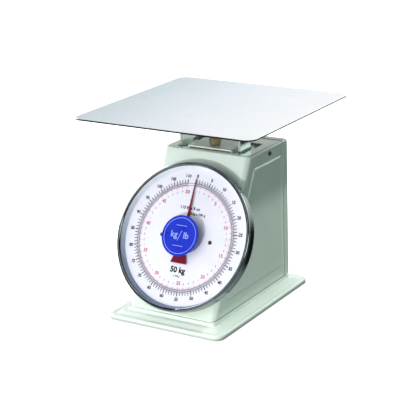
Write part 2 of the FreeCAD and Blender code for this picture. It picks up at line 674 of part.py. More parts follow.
def rack():
    """Toothed bar that slides down the slope, with a level slot in its foot for the drive pin."""
    lean = tan(radians(PRESSURE_ANGLE))
    tip_x = RACK_MIDLINE - RACK_ADDENDUM
    root_x = RACK_MIDLINE + RACK_DEDENDUM
    tip_half = RACK_PITCH / 4 - RACK_ADDENDUM * lean
    root_half = RACK_PITCH / 4 + RACK_DEDENDUM * lean
    low = (RACK_TOOTH_FIRST - 0.5) * RACK_PITCH
    high = (RACK_TOOTH_LAST + 0.5) * RACK_PITCH
    outline = [(RACK_BACK_X, low - 18), (root_x, low - 18), (root_x, low)]
    for tooth in range(RACK_TOOTH_FIRST, RACK_TOOTH_LAST + 1):
        middle = tooth * RACK_PITCH
        outline += [(root_x, middle - root_half), (tip_x, middle - tip_half)]
        outline += [(tip_x, middle + tip_half), (root_x, middle + root_half)]
    outline += [(root_x, high), (RACK_BACK_X, high)]
    corners = [V(x, u, RACK_S0) for x, u in outline]
    bar = on_dial(Part.Face(Part.makePolygon(corners + corners[:1])).extrude(V(0, 0, RACK_S1 - RACK_S0)))
    pin = on_rack_line(PIN_Z, (RACK_S0 + RACK_S1) / 2)
    reach = RACK_TRAVEL * SIN_TILT
    foot = box(root_x, RACK_BACK_X - 0.6, pin.y - 5, pin.y + reach + 5, PIN_Z - 5.5, PIN_Z + 5.5)
    slot_radius = RACK_PIN_RADIUS + SLIP_GAP
    slot_y0 = pin.y - 0.4
    slot_y1 = pin.y + reach + 0.4
    body = fuse([bar, foot])
    slot = box(root_x - 2, RACK_BACK_X + 1, slot_y0, slot_y1, PIN_Z - slot_radius, PIN_Z + slot_radius)
    body = body.cut(slot)
    for y in (slot_y0, slot_y1):
        body = body.cut(rod(slot_radius, V(root_x - 2, y, PIN_Z), V(RACK_BACK_X + 1, y, PIN_Z)))
    return body


def movement_front_plate():
    """Plate screwed across the cheeks, which carries the movement and the dial."""
    plate = rounded_plate(
        -PLATE_HALF_X, PLATE_HALF_X, -PLATE_HALF_U, PLATE_HALF_U, PLATE_BACK_S, PLATE_FRONT_S, 6)
    holes = [(BUSH_RADIUS, V(0, 0, 0)), (ROLLER_STUD_RADIUS, V(ROLLER_X, 0, 0))]
    for spot in mirrored_points([PLATE_SCREW_X], PLATE_SCREW_US, 0) + POST_SPOTS:
        holes.append((SCREW_RADIUS, spot))
    cuts = [drill(radius, spot, PLATE_BACK_S, PLATE_FRONT_S) for radius, spot in holes]
    return on_dial(plate.cut(Part.makeCompound(cuts)))


def movement_rear_plate():
    """Small plate that carries the rear end of the pointer shaft."""
    plate = rounded_plate(-25, 25, -6.5, 33, REAR_PLATE_S0, REAR_PLATE_S1, 3)
    for radius, x in ((BUSH_RADIUS - 0.5, 0), (ROLLER_STUD_RADIUS, ROLLER_X)):
        plate = plate.cut(drill(radius, V(x, 0, 0), REAR_PLATE_S0, REAR_PLATE_S1))
    return on_dial(plate)


def bush(radius, back_s, front_s, flange):
    """Bearing bush through a plate, with a flange on the plate's front."""
    barrel = rod(radius, V(0, 0, back_s), V(0, 0, front_s))
    collar = rod(radius + 1.5, V(0, 0, front_s), V(0, 0, front_s + flange))
    bore = drill(SHAFT_RADIUS + SHAFT_GAP, V(0, 0, 0), back_s, front_s + flange)
    return on_dial(fuse([barrel, collar]).cut(bore))


def pointer():
    """Tapered hand with a fan-shaped counterweight."""
    blade = [
        (HAND_BLADE_HALF + 0.5, 0), (HAND_BLADE_HALF, HAND_BLADE_U), (HAND_TIP_HALF, HAND_TIP - 1.5),
        (0, HAND_TIP)]
    blade += [(-x, u) for x, u in reversed(blade[:-1])]
    tail = [(3.2, 0), (3.6, -20), (10.0, -28), (HAND_TAIL_HALF, HAND_TAIL)]
    tail += [(-x, u) for x, u in reversed(tail)]
    pieces = [rod(HAND_EYE_RADIUS, V(0, 0, HAND_S), V(0, 0, HAND_S + HAND_SHEET))]
    for outline in (blade, tail):
        corners = [V(x, u, HAND_S) for x, u in outline]
        pieces.append(Part.Face(Part.makePolygon(corners + corners[:1])).extrude(V(0, 0, HAND_SHEET)))
    return on_dial(fuse(pieces).cut(drill(HUB_NOSE_RADIUS, V(0, 0, 0), HAND_S, HAND_S + HAND_SHEET)))


def pointer_hub():
    """Brass boss that clamps the hand on the shaft."""
    boss = turned([
        (SHAFT_RADIUS, HUB_S0), (HUB_RADIUS, HUB_S0), (HUB_RADIUS, HAND_S), (HUB_NOSE_RADIUS, HAND_S),
        (HUB_NOSE_RADIUS, HUB_S1 - 0.8), (HUB_NOSE_RADIUS - 0.8, HUB_S1), (SHAFT_RADIUS, HUB_S1)])
    return on_dial(boss)


def movement_parts():
    pin = on_rack_line(PIN_Z, (RACK_S0 + RACK_S1) / 2)
    pillars = [
        rod(PILLAR_RADIUS, V(p.x, p.y, REAR_PLATE_S1), V(p.x, p.y, PLATE_BACK_S)) for p in PILLAR_SPOTS]
    posts = []
    for spot in POST_SPOTS:
        post = rod(POST_RADIUS, V(spot.x, spot.y, PLATE_FRONT_S), V(spot.x, spot.y, DIAL_BACK_S))
        posts.append(post.cut(drill(SCREW_RADIUS, spot, PLATE_FRONT_S, DIAL_BACK_S)))
    plate_seats = mirrored_points([PLATE_SCREW_X], PLATE_SCREW_US, PLATE_FRONT_S)
    roller = rod(ROLLER_RADIUS, V(ROLLER_X, 0, ROLLER_S0), V(ROLLER_X, 0, ROLLER_S1))
    roller = roller.cut(drill(ROLLER_STUD_RADIUS + SHAFT_GAP, V(ROLLER_X, 0, 0), ROLLER_S0, ROLLER_S1))
    stud = rod(ROLLER_STUD_RADIUS, V(ROLLER_X, 0, REAR_PLATE_S0), V(ROLLER_X, 0, PLATE_FRONT_S))
    return {
        "movement_front_plate": movement_front_plate(),
        "movement_rear_plate": movement_rear_plate(),
        "movement_pillars": on_dial(Part.makeCompound(pillars)),
        "movement_plate_screws": on_dial(
            screws(plate_seats, V(0, 0, -1), 3.5, 2.2, SCREW_RADIUS, 7.0)),
        "front_bush": bush(BUSH_RADIUS, PLATE_BACK_S, PLATE_FRONT_S, FRONT_FLANGE),
        "rear_bush": bush(BUSH_RADIUS - 0.5, REAR_PLATE_S0, REAR_PLATE_S1, REAR_FLANGE),
        "pointer_shaft": on_dial(rod(SHAFT_RADIUS, V(0, 0, REAR_PLATE_S0 + 0.2), V(0, 0, HUB_S1))),
        "pinion": pinion(),
        "pointer": pointer(),
        "pointer_hub": pointer_hub(),
        "rack": rack(),
        "rack_pin": rod(RACK_PIN_RADIUS, V(RACK_MIDLINE, pin.y, PIN_Z), V(ARM_X1, pin.y, PIN_Z)),
        "guide_roller": on_dial(roller),
        "roller_stud": on_dial(stud),
        "dial_posts": on_dial(Part.makeCompound(posts)),
    }


# ---------------------------------------------------------------------------
# Dial, lens and bezel
# ---------------------------------------------------------------------------
DIAL_SHEET = 1.0
DIAL_BACK_S = DIAL_FACE_S - DIAL_SHEET
DIAL_EYE_RADIUS = 5.0
PAN_SHEET = 1.2
PAN_RADIUS = 108.7
PAN_HOLE_RADIUS = 52.0
PAN_RIM_S = 13.5
RIM_RADIUS = 107.3
GASKET_S = GLASS_S - 0.6
BEZEL_CROWN_RADIUS = (GLASS_RADIUS + BEZEL_RADIUS) / 2
BEZEL_SHOULDER_S = BEZEL_FRONT_S - 3.2
BEZEL_BARREL_S = BEZEL_FRONT_S - 5.4


def domed_disc(radius, apex_s, dome_radius, sheet):
    """Shallow dome of even thickness about the local s axis."""
    inner = dome_radius - sheet
    centre = apex_s - dome_radius
    out_edge = centre + sqrt(dome_radius ** 2 - radius ** 2)
    in_edge = centre + sqrt(inner ** 2 - radius ** 2)
    half = radius / 2
    out_mid = centre + sqrt(dome_radius ** 2 - half ** 2)
    in_mid = centre + sqrt(inner ** 2 - half ** 2)
    edges = [
        Part.Arc(V(0, 0, apex_s), V(half, 0, out_mid), V(radius, 0, out_edge)).toShape(),
        Part.LineSegment(V(radius, 0, out_edge), V(radius, 0, in_edge)).toShape(),
        Part.Arc(V(radius, 0, in_edge), V(half, 0, in_mid), V(0, 0, apex_s - sheet)).toShape(),
        Part.LineSegment(V(0, 0, apex_s - sheet), V(0, 0, apex_s)).toShape(),
    ]
    return Part.Face(Part.Wire(edges)).revolve(V(0, 0, 0), AXIS_Z, 360)


def lens_dome_radius():
    """Radius of the lens's outer sphere, from its rise over the glass opening."""
    rise = LENS_APEX_S - (GLASS_S + LENS_SHEET)
    return (GLASS_RADIUS ** 2 + rise ** 2) / (2 * rise)


def lens():
    """Domed clear lens with a flat rim under the bezel."""
    dome = domed_disc(GLASS_RADIUS, LENS_APEX_S, lens_dome_radius(), LENS_SHEET)
    rim = turned([(GLASS_RADIUS - 1, GLASS_S), (RIM_RADIUS, GLASS_S), (RIM_RADIUS, GLASS_S + LENS_SHEET),
                  (GLASS_RADIUS - 1, GLASS_S + LENS_SHEET)])
    return on_dial(fuse([dome, rim]))


def bezel():
    """Bright rolled ring that holds the lens and covers the pan's wall."""
    lip_s = GLASS_S + LENS_SHEET + 0.1
    inner = PAN_RADIUS + 0.1
    crown = BEZEL_CROWN_RADIUS
    inner_bulge = V(crown - 1.6, 0, BEZEL_FRONT_S - 0.25)
    outer_bulge = V(BEZEL_RADIUS - 0.75, 0, BEZEL_FRONT_S - 1.1)
    shoulder = V(BEZEL_RADIUS, 0, BEZEL_SHOULDER_S)
    tuck = V(BEZEL_RADIUS - 0.1, 0, BEZEL_SHOULDER_S - 1.2)
    barrel_top = V(BEZEL_BARREL_RADIUS, 0, BEZEL_BARREL_S)
    barrel_foot = V(BEZEL_BARREL_RADIUS, 0, 0)
    edges = [
        Part.LineSegment(V(inner, 0, lip_s), V(GLASS_RADIUS, 0, lip_s)).toShape(),
        Part.Arc(V(GLASS_RADIUS, 0, lip_s), inner_bulge, V(crown, 0, BEZEL_FRONT_S)).toShape(),
        Part.Arc(V(crown, 0, BEZEL_FRONT_S), outer_bulge, shoulder).toShape(),
        Part.Arc(shoulder, tuck, barrel_top).toShape(),
        Part.LineSegment(barrel_top, barrel_foot).toShape(),
        Part.LineSegment(barrel_foot, V(inner, 0, 0)).toShape(),
        Part.LineSegment(V(inner, 0, 0), V(inner, 0, lip_s)).toShape(),
    ]
    return on_dial(Part.Face(Part.Wire(edges)).revolve(V(0, 0, 0), AXIS_Z, 360))


def dial_pan():
    """Round dish that stands on the front face behind the dial plate."""
    inner = PAN_RADIUS - PAN_SHEET
    dish = turned([
        (PAN_HOLE_RADIUS, 0), (PAN_RADIUS, 0), (PAN_RADIUS, PAN_RIM_S), (inner, PAN_RIM_S),
        (inner, PAN_SHEET), (PAN_HOLE_RADIUS, PAN_SHEET)])
    for spot in PAN_SCREW_SPOTS:
        dish = dish.cut(drill(SCREW_RADIUS, spot, 0, PAN_SHEET))
    return on_dial(dish)


def dial_plate():
    """Flat printed disc, held by two screws on the posts."""
    disc = rod(DIAL_PLATE_RADIUS, V(0, 0, DIAL_BACK_S), V(0, 0, DIAL_FACE_S))
    disc = disc.cut(drill(DIAL_EYE_RADIUS, V(0, 0, 0), DIAL_BACK_S, DIAL_FACE_S))
    for spot in POST_SPOTS:
        disc = disc.cut(drill(SCREW_RADIUS, spot, DIAL_BACK_S, DIAL_FACE_S))
    return on_dial(disc)


def dial_parts():
    surround = turned([
        (DIAL_VISIBLE_RADIUS, DIAL_FACE_S), (RIM_RADIUS, DIAL_FACE_S), (RIM_RADIUS, GASKET_S),
        (GLASS_RADIUS, GASKET_S)])
    gasket = turned([
        (GLASS_RADIUS, GASKET_S), (RIM_RADIUS, GASKET_S), (RIM_RADIUS, GLASS_S), (GLASS_RADIUS, GLASS_S)])
    badge_dome = lens_dome_radius() + BADGE_SHEET
    badge = domed_disc(BADGE_RADIUS, LENS_APEX_S + BADGE_SHEET, badge_dome, BADGE_SHEET)
    dial_seats = [V(p.x, p.y, DIAL_FACE_S) for p in POST_SPOTS]
    pan_seats = [V(p.x, p.y, PAN_SHEET) for p in PAN_SCREW_SPOTS]
    return {
        "dial_pan": dial_pan(),
        "dial_pan_screws": on_dial(screws(pan_seats, V(0, 0, -1), 3.5, 2.2, SCREW_RADIUS, 6.0)),
        "dial_plate": dial_plate(),
        "dial_plate_screws": on_dial(screws(dial_seats, V(0, 0, -1), 3.0, 1.2, SCREW_RADIUS, 10.0)),
        "dial_surround": on_dial(surround),
        "lens_gasket": on_dial(gasket),
        "lens": lens(),
        "lens_badge": on_dial(badge),
        "bezel": bezel(),
    }


# ---------------------------------------------------------------------------
# Load frame: platform, carrier, legs, yoke and rack arm
# ---------------------------------------------------------------------------
CARRIER_HALF = 90.0
CARRIER_SHEET = 2.0
CARRIER_RIM = 10.0
CARRIER_CORNER = 14.0
CARRIER_SCREW_XS = [38.0]
CARRIER_SCREW_YS = [0.0, 14.0]
CARRIER_SCREW_RADIUS = 2.5
LEG_FLANGE = 4.0
LEG_FLANGE_X = 30.0
YOKE_SCREW_YS = [2.0, 12.0]
YOKE_SCREW_RADIUS = 2.0
PLUG_RADIUS = 8.9
PLUG_HEIGHT = 13.0
YOKE_SCREW_DEPTH = 12.0
ARM_SCREW_XS = [20.0, 28.0]
ARM_SCREW_RADIUS = 1.5
ARM_SHEET = 2.5
ARM_HALF_Z = 4.0
ARM_FOOT_X = 33.0
LINK_PIN_Y = LINK_REAR_Y - LINK_LENGTH * cos(LINK_TILT)


def platform():
    """Stainless top plate with round corners and a shallow turned-down rim."""
    half = PLATFORM_SIZE / 2
    y0 = LOAD_Y - half
    y1 = LOAD_Y + half
    low = PLATFORM_TOP - PLATFORM_RIM
    outside = rounded_plate(-half, half, y0, y1, low, PLATFORM_TOP, PLATFORM_CORNER)
    top_edges = edges_where(outside, lambda e: e.BoundBox.ZMin > PLATFORM_TOP - 1e-3)
    outside = outside.makeFillet(PLATFORM_EDGE_RADIUS, top_edges)
    t = PLATFORM_SHEET
    inside = rounded_plate(
        -half + t, half - t, y0 + t, y1 - t, low - 1, PLATFORM_TOP - t, PLATFORM_CORNER - t)
    return outside.cut(inside)


def platform_carrier():
    """Pressed tray under the platform that ties the two legs together."""
    z0 = LEG_TOP_Z
    z1 = PLATFORM_TOP - PLATFORM_SHEET
    y0 = LOAD_Y - CARRIER_HALF
    y1 = LOAD_Y + CARRIER_HALF
    tray = rounded_plate(-CARRIER_HALF, CARRIER_HALF, y0, y1, z0, z1, CARRIER_CORNER)
    rim = CARRIER_RIM
    hollow = rounded_plate(
        -CARRIER_HALF + rim, CARRIER_HALF - rim, y0 + rim, y1 - rim, z0 + CARRIER_SHEET, z1 + 1, 8)
    tray = tray.cut(hollow)
    under = rounded_plate(
        -CARRIER_HALF - 1, CARRIER_HALF + 1, y0 - 1, y1 + 1, z0 - 1, z1 - CARRIER_SHEET,
        CARRIER_CORNER + 1)
    wall = rim - CARRIER_SHEET
    under = under.cut(rounded_plate(
        -CARRIER_HALF + wall, CARRIER_HALF - wall, y0 + wall, y1 - wall, z0 - 2, z1, 10))
    tray = tray.cut(under)
    for spot in mirrored_points(CARRIER_SCREW_XS, CARRIER_SCREW_YS, z0 - 1):
        tray = tray.cut(rod(CARRIER_SCREW_RADIUS, spot, spot + V(0, 0, 8)))
    return tray


def leg(side):
    """Flat bar turned in at the top, bored for the link pins and the yoke screws."""
    low, high = sorted((side * LEG_X0, side * LEG_X1))
    upright = box(low, high, LEG_Y0, LEG_Y1, LEG_FOOT_Z, LEG_TOP_Z)
    low, high = sorted((side * LEG_FLANGE_X, side * LEG_X1))
    flange = box(low, high, LEG_Y0, LEG_Y1, LEG_TOP_Z - LEG_FLANGE, LEG_TOP_Z)
    body = fuse([upright, flange])

    def outer_bend(edge):
        b = edge.BoundBox
        return b.YLength > 10 and abs(abs(b.XMin) - LEG_X1) < 1e-3 and b.ZMin > LEG_TOP_Z - 1e-3

    body = body.makeFillet(4.0, edges_where(body, outer_bend))
    across = V(side * 10, 0, 0)
    for z in (LINK_UPPER_Z, LINK_LOWER_Z):
        start = V(side * (LEG_X0 - 2), LINK_PIN_Y, z + LOAD_TRAVEL / 2)
        body = body.cut(rod(LINK_PIN_RADIUS, start, start + across))
    for y in YOKE_SCREW_YS:
        start = V(side * (LEG_X0 - 2), y, PIN_Z)
        body = body.cut(rod(YOKE_SCREW_RADIUS, start, start + across))
    for y in CARRIER_SCREW_YS:
        start = V(side * CARRIER_SCREW_XS[0], y, LEG_TOP_Z - 6)
        body = body.cut(rod(CARRIER_SCREW_RADIUS, start, start + V(0, 0, 8)))
    return body


def yoke_bar():
    """Cross bar between the legs that pulls the springs down."""
    bar = box(-LEG_X0, LEG_X0, YOKE_Y0, YOKE_Y1, YOKE_Z0, YOKE_Z1)
    for side in (-1, 1):
        for y in YOKE_SCREW_YS:
            start = V(side * (LEG_X0 - YOKE_SCREW_DEPTH), y, PIN_Z)
            bar = bar.cut(rod(YOKE_SCREW_RADIUS, start, V(side * (LEG_X0 + 1), y, PIN_Z)))
    for x in ARM_SCREW_XS:
        bar = bar.cut(rod(ARM_SCREW_RADIUS, V(x, YOKE_Y0 - 1, PIN_Z), V(x, YOKE_Y0 + 8, PIN_Z)))
    return bar


def rack_arm():
    """Blade that reaches forward from the yoke to the rack."""
    pin = on_rack_line(PIN_Z, (RACK_S0 + RACK_S1) / 2)
    low = PIN_Z - ARM_HALF_Z
    high = PIN_Z + ARM_HALF_Z
    blade = box(ARM_X0, ARM_X1, pin.y - 4, YOKE_Y0, low, high)
    foot = box(ARM_X0, ARM_FOOT_X, YOKE_Y0 - ARM_SHEET, YOKE_Y0, low, high)
    arm = fuse([blade, foot])
    arm = arm.cut(rod(RACK_PIN_RADIUS, V(ARM_X0 - 1, pin.y, PIN_Z), V(ARM_X1 + 1, pin.y, PIN_Z)))
    for x in ARM_SCREW_XS:
        arm = arm.cut(rod(ARM_SCREW_RADIUS, V(x, YOKE_Y0 - 4, PIN_Z), V(x, YOKE_Y0 + 1, PIN_Z)))
    return arm


def spring_plug(side, z0, z1):
    """Threaded plug that a spring's end coils grip."""
    return rod(PLUG_RADIUS, V(side * SPRING_X, SPRING_Y, z0), V(side * SPRING_X, SPRING_Y, z1))


def load_frame_parts():
    link_pins = []
    for side in (-1, 1):
        for z in (LINK_UPPER_Z, LINK_LOWER_Z):
            height = z + LOAD_TRAVEL / 2
            link_pins.append(rod(LINK_PIN_RADIUS, V(side * (LINK_X0 - 0.5), LINK_PIN_Y, height),
                                 V(side * LEG_X1, LINK_PIN_Y, height)))
    yoke_screws = [
        screw(V(side * LEG_X1, y, PIN_Z), V(-side, 0, 0), 3.8, 2.6, YOKE_SCREW_RADIUS, 14.0)
        for side in (-1, 1) for y in YOKE_SCREW_YS]
    arm_seats = [V(x, YOKE_Y0 - ARM_SHEET, PIN_Z) for x in ARM_SCREW_XS]
    carrier_seats = mirrored_points(CARRIER_SCREW_XS, CARRIER_SCREW_YS, LEG_TOP_Z - LEG_FLANGE)
    plugs = [spring_plug(side, YOKE_Z1, YOKE_Z1 + PLUG_HEIGHT) for side in (-1, 1)]
    return {
        "platform": platform(),
        "platform_carrier": platform_carrier(),
        "carrier_screws": screws(carrier_seats, AXIS_Z, 4.5, 3.0, CARRIER_SCREW_RADIUS, 7.5),
        "leg_left": leg(-1),
        "leg_right": leg(1),
        "yoke_bar": yoke_bar(),
        "yoke_screws": Part.makeCompound(yoke_screws),
        "rack_arm": rack_arm(),
        "arm_screws": screws(arm_seats, AXIS_Y, 2.8, 1.8, ARM_SCREW_RADIUS, 9.0),
        "link_pins": Part.makeCompound(link_pins),
        "lower_spring_plugs": Part.makeCompound(plugs),
    }


# ---------------------------------------------------------------------------
# Check links
# ---------------------------------------------------------------------------
def link_arms(pivot_z):
    """Pair of flat arms, one outside each cheek, with a slotted eye at the front."""
    made = []
    eye = 7.0
    slot_near = LINK_LENGTH * cos(LINK_TILT) - 0.15
    slot_far = LINK_LENGTH + 0.15
    slot_radius = LINK_PIN_RADIUS + SLIP_GAP
    for side in (-1, 1):
        low, high = sorted((side * LINK_X0, side * LINK_X1))
        arm = fuse([
            box(low, high, -LINK_LENGTH, 0, -eye, eye),
            rod(eye, V(low, 0, 0), V(high, 0, 0)),
            rod(eye, V(low, -LINK_LENGTH, 0), V(high, -LINK_LENGTH, 0)),
        ])
        arm = arm.cut(rod(LINK_SHAFT_RADIUS, V(low - 1, 0, 0), V(high + 1, 0, 0)))
        arm = arm.cut(box(low - 1, high + 1, -slot_far, -slot_near, -slot_radius, slot_radius))
        for reach in (slot_near, slot_far):
            arm = arm.cut(rod(slot_radius, V(low - 1, -reach, 0), V(high + 1, -reach, 0)))
        made.append(arm)
    pair = Part.makeCompound(made)
    pair.rotate(V(0, 0, 0), AXIS_X, -LINK_TILT * 180 / pi)
    pair.translate(V(0, LINK_REAR_Y, pivot_z))
    return pair


def link_parts():
    parts = {}
    for name, z in (("upper", LINK_UPPER_Z), ("lower", LINK_LOWER_Z)):
        parts[name + "_link_arms"] = link_arms(z)
        parts[name + "_link_shaft"] = rod(
            LINK_SHAFT_RADIUS, V(-LINK_X1 - 1.5, LINK_REAR_Y, z), V(LINK_X1 + 1.5, LINK_REAR_Y, z))
    return parts


# ---------------------------------------------------------------------------
# Springs and zero adjustment
# ---------------------------------------------------------------------------
HANGER_Z0 = 206.0
HANGER_Z1 = 214.0
HANGER_HALF_X = 34.6
KNOB_RADIUS = 9.0
KNOB_Z0 = FRAME_TOP + 0.3
KNOB_Z1 = KNOB_Z0 + 12.0
KNOB_NECK_RADIUS = 7.0
KNURLS = 30
KNURL_RADIUS = 0.7
KNURL_RING_RADIUS = KNOB_RADIUS + 0.25
COLLAR_RADIUS = 7.0
COLLAR_HEIGHT = 3.0
SPRING_Z0 = YOKE_Z1 + 2.5
SPRING_Z1 = HANGER_Z0 - 5.0


def spring(side):
    """Extension spring wound round the load line, open by a little at rest."""
    low = SPRING_Z0 + SPRING_WIRE_RADIUS
    height = SPRING_Z1 - SPRING_WIRE_RADIUS - low
    helix = Part.makeHelix(height / SPRING_TURNS, height, SPRING_MEAN_RADIUS)
    start = Part.makeCircle(SPRING_WIRE_RADIUS, V(SPRING_MEAN_RADIUS, 0, 0), AXIS_Y)
    wire = Part.Wire(helix).makePipeShell([Part.Wire([start])], True, True)
    wire.translate(V(side * SPRING_X, SPRING_Y, low))
    return wire


def zero_knob():
    """Knurled brass knob with a turned crown and a neck."""
    profile = [
        (ZERO_SCREW_RADIUS, KNOB_Z0), (KNOB_NECK_RADIUS, KNOB_Z0), (KNOB_NECK_RADIUS, KNOB_Z0 + 1.5),
        (KNOB_RADIUS, KNOB_Z0 + 2.5),
        (KNOB_RADIUS, KNOB_Z1 - 1.2), (KNOB_RADIUS - 1.2, KNOB_Z1), (ZERO_SCREW_RADIUS, KNOB_Z1)]
    knob = turned(profile)
    grooves = []
    for i in range(KNURLS):
        angle = 2 * pi * i / KNURLS
        spot = V(KNURL_RING_RADIUS * cos(angle), KNURL_RING_RADIUS * sin(angle), 0)
        grooves.append(rod(KNURL_RADIUS, spot + V(0, 0, KNOB_Z0 + 1), spot + V(0, 0, KNOB_Z1 + 1)))
    knob = knob.cut(Part.makeCompound(grooves))
    knob.translate(V(0, SPRING_Y, 0))
    return knob


def zero_screw():
    """Screw fixed endwise in the bridge, with a thrust collar below it."""
    low = HANGER_Z0 - 8
    stem = rod(ZERO_SCREW_RADIUS, V(0, SPRING_Y, low), V(0, SPRING_Y, KNOB_Z1 - 0.6))
    collar_top = BRIDGE_Z0 - 0.2
    collar = rod(COLLAR_RADIUS, V(0, SPRING_Y, collar_top - COLLAR_HEIGHT), V(0, SPRING_Y, collar_top))
    return fuse([stem, collar])


def spring_hanger():
    """Bar that the springs hang from, raised and lowered by the zero screw."""
    bar = box(-HANGER_HALF_X, HANGER_HALF_X, YOKE_Y0, YOKE_Y1, HANGER_Z0, HANGER_Z1)
    hole = rod(ZERO_SCREW_RADIUS + SLIP_GAP, V(0, SPRING_Y, HANGER_Z0 - 1), V(0, SPRING_Y, HANGER_Z1 + 1))
    return bar.cut(hole)


def spring_parts():
    plugs = [spring_plug(side, HANGER_Z0 - PLUG_HEIGHT, HANGER_Z0) for side in (-1, 1)]
    return {
        "spring_left": spring(-1),
        "spring_right": spring(1),
        "upper_spring_plugs": Part.makeCompound(plugs),
        "spring_hanger": spring_hanger(),
        "zero_screw": zero_screw(),
        "zero_knob": zero_knob(),
    }


def main():
    os.makedirs("parts", exist_ok=True)
    parts = {}
    for group in (base_parts, housing_parts, frame_parts, movement_parts, dial_parts,
                  load_frame_parts, link_parts, spring_parts):
        parts.update(group())
    for name, shape in parts.items():
        solids = shape.Solids
        volume = sum(s.Volume for s in solids)
        print("%-24s %2d solid(s) %10.1f mm3 valid %s" % (name, len(solids), volume, shape.isValid()))
        shape.exportStep("parts/%s.step" % name)
    print("nodes %d, load travel %.3f, rack travel %.3f, link tilt %.3f deg" % (
        len(parts), LOAD_TRAVEL, RACK_TRAVEL, LINK_TILT * 180 / pi))


main()
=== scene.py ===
import json
import math

import bmesh
import bpy
from mathutils import Matrix, Vector


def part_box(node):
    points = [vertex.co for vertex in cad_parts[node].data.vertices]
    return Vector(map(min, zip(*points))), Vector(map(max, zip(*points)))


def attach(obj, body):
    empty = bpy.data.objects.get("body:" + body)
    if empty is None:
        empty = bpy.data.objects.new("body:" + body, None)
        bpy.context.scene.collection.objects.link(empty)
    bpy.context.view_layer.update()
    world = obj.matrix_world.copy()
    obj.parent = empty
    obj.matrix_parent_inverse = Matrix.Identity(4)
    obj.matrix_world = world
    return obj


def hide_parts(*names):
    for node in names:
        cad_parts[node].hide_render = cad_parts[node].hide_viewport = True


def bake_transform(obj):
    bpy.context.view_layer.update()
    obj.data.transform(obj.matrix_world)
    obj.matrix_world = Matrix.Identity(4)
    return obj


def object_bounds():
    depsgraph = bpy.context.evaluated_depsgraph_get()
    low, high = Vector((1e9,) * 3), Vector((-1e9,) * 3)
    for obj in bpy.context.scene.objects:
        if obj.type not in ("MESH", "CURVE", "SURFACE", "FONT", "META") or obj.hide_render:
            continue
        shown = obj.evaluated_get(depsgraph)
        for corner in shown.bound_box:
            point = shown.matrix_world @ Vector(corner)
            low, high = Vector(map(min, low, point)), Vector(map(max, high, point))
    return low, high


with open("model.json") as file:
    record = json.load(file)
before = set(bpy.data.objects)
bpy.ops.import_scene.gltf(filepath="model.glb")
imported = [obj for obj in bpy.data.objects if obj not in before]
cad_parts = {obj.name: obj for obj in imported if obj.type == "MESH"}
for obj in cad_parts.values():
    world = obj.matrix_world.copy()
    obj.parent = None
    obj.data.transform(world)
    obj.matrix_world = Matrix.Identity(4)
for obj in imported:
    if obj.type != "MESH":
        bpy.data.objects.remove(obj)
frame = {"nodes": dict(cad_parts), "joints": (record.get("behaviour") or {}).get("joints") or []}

CAD_LOW, CAD_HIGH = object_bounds()
CAD_MIDDLE = (CAD_LOW + CAD_HIGH) / 2
MM = 0.001
X_AXIS = Vector((1, 0, 0))
Z_AXIS = Vector((0, 0, 1))

# ---------------------------------------------------------------------------
# Places read from the frame
# ---------------------------------------------------------------------------
JOINTS = {j["name"]: j for j in frame["joints"]}
PIVOT = Vector(JOINTS["pointer_turn"]["pos_m"])
OUT = -Vector(JOINTS["pointer_turn"]["axis"]).normalized()
DIAL = Matrix((X_AXIS, OUT.cross(X_AXIS), OUT)).transposed().to_4x4()
DIAL.translation = PIVOT


def rise(node):
    """Lowest and highest reach of a CAD node out of the dial's face."""
    heights = [(v.co - PIVOT).dot(OUT) for v in frame["nodes"][node].data.vertices]
    return min(heights), max(heights)


def radius_about_pivot(node):
    """Largest distance of a CAD node from the pointer's axis."""
    return max((v.co - PIVOT).cross(OUT).length for v in frame["nodes"][node].data.vertices)


# ---------------------------------------------------------------------------
# Camera
# ---------------------------------------------------------------------------
VIEW_AZIMUTH = math.radians(32.3)
VIEW_ELEVATION = math.radians(17.7)
VIEW_ROLL = math.radians(-1.9)
VIEW_DISTANCE = 2.0647
VIEW_LENS = 122.45
VIEW_TARGET = CAD_MIDDLE + Vector((-0.0289, 0.005, -0.0012))
SENSOR_WIDTH = 36.0
CLIP_NEAR = 0.05
CLIP_FAR = 50.0


def make_camera():
    """Long lens from the front and the right, a little above the dial."""
    data = bpy.data.cameras.new("camera")
    data.lens = VIEW_LENS
    data.sensor_width = SENSOR_WIDTH
    data.clip_start = CLIP_NEAR
    data.clip_end = CLIP_FAR
    camera = bpy.data.objects.new("camera", data)
    bpy.context.scene.collection.objects.link(camera)
    level = math.cos(VIEW_ELEVATION)
    back = Vector((math.sin(VIEW_AZIMUTH) * level, -math.cos(VIEW_AZIMUTH) * level, math.sin(VIEW_ELEVATION)))
    right = Z_AXIS.cross(back).normalized()
    up = back.cross(right)
    turned_right = right * math.cos(VIEW_ROLL) + up * math.sin(VIEW_ROLL)
    turned_up = up * math.cos(VIEW_ROLL) - right * math.sin(VIEW_ROLL)
    place = Matrix((turned_right, turned_up, back)).transposed().to_4x4()
    place.translation = VIEW_TARGET + back * VIEW_DISTANCE
    camera.matrix_world = place
    bpy.context.scene.camera = camera


# ---------------------------------------------------------------------------
# Material helpers
# ---------------------------------------------------------------------------
def new_material(name):
    """Empty node material with its Principled shader; returns (material, nodes, links, shader)."""
    made = bpy.data.materials.new(name)
    made.use_nodes = True
    nodes = made.node_tree.nodes
    return made, nodes, made.node_tree.links, nodes["Principled BSDF"]


def coordinates(nodes, links, stretch=(1, 1, 1)):
    """Object coordinates, stretched, so that a pattern stays with its piece."""
    texture = nodes.new("ShaderNodeTexCoord")
    mapping = nodes.new("ShaderNodeMapping")
    mapping.inputs["Scale"].default_value = stretch
    links.new(texture.outputs["Object"], mapping.inputs["Vector"])
    return mapping.outputs["Vector"]


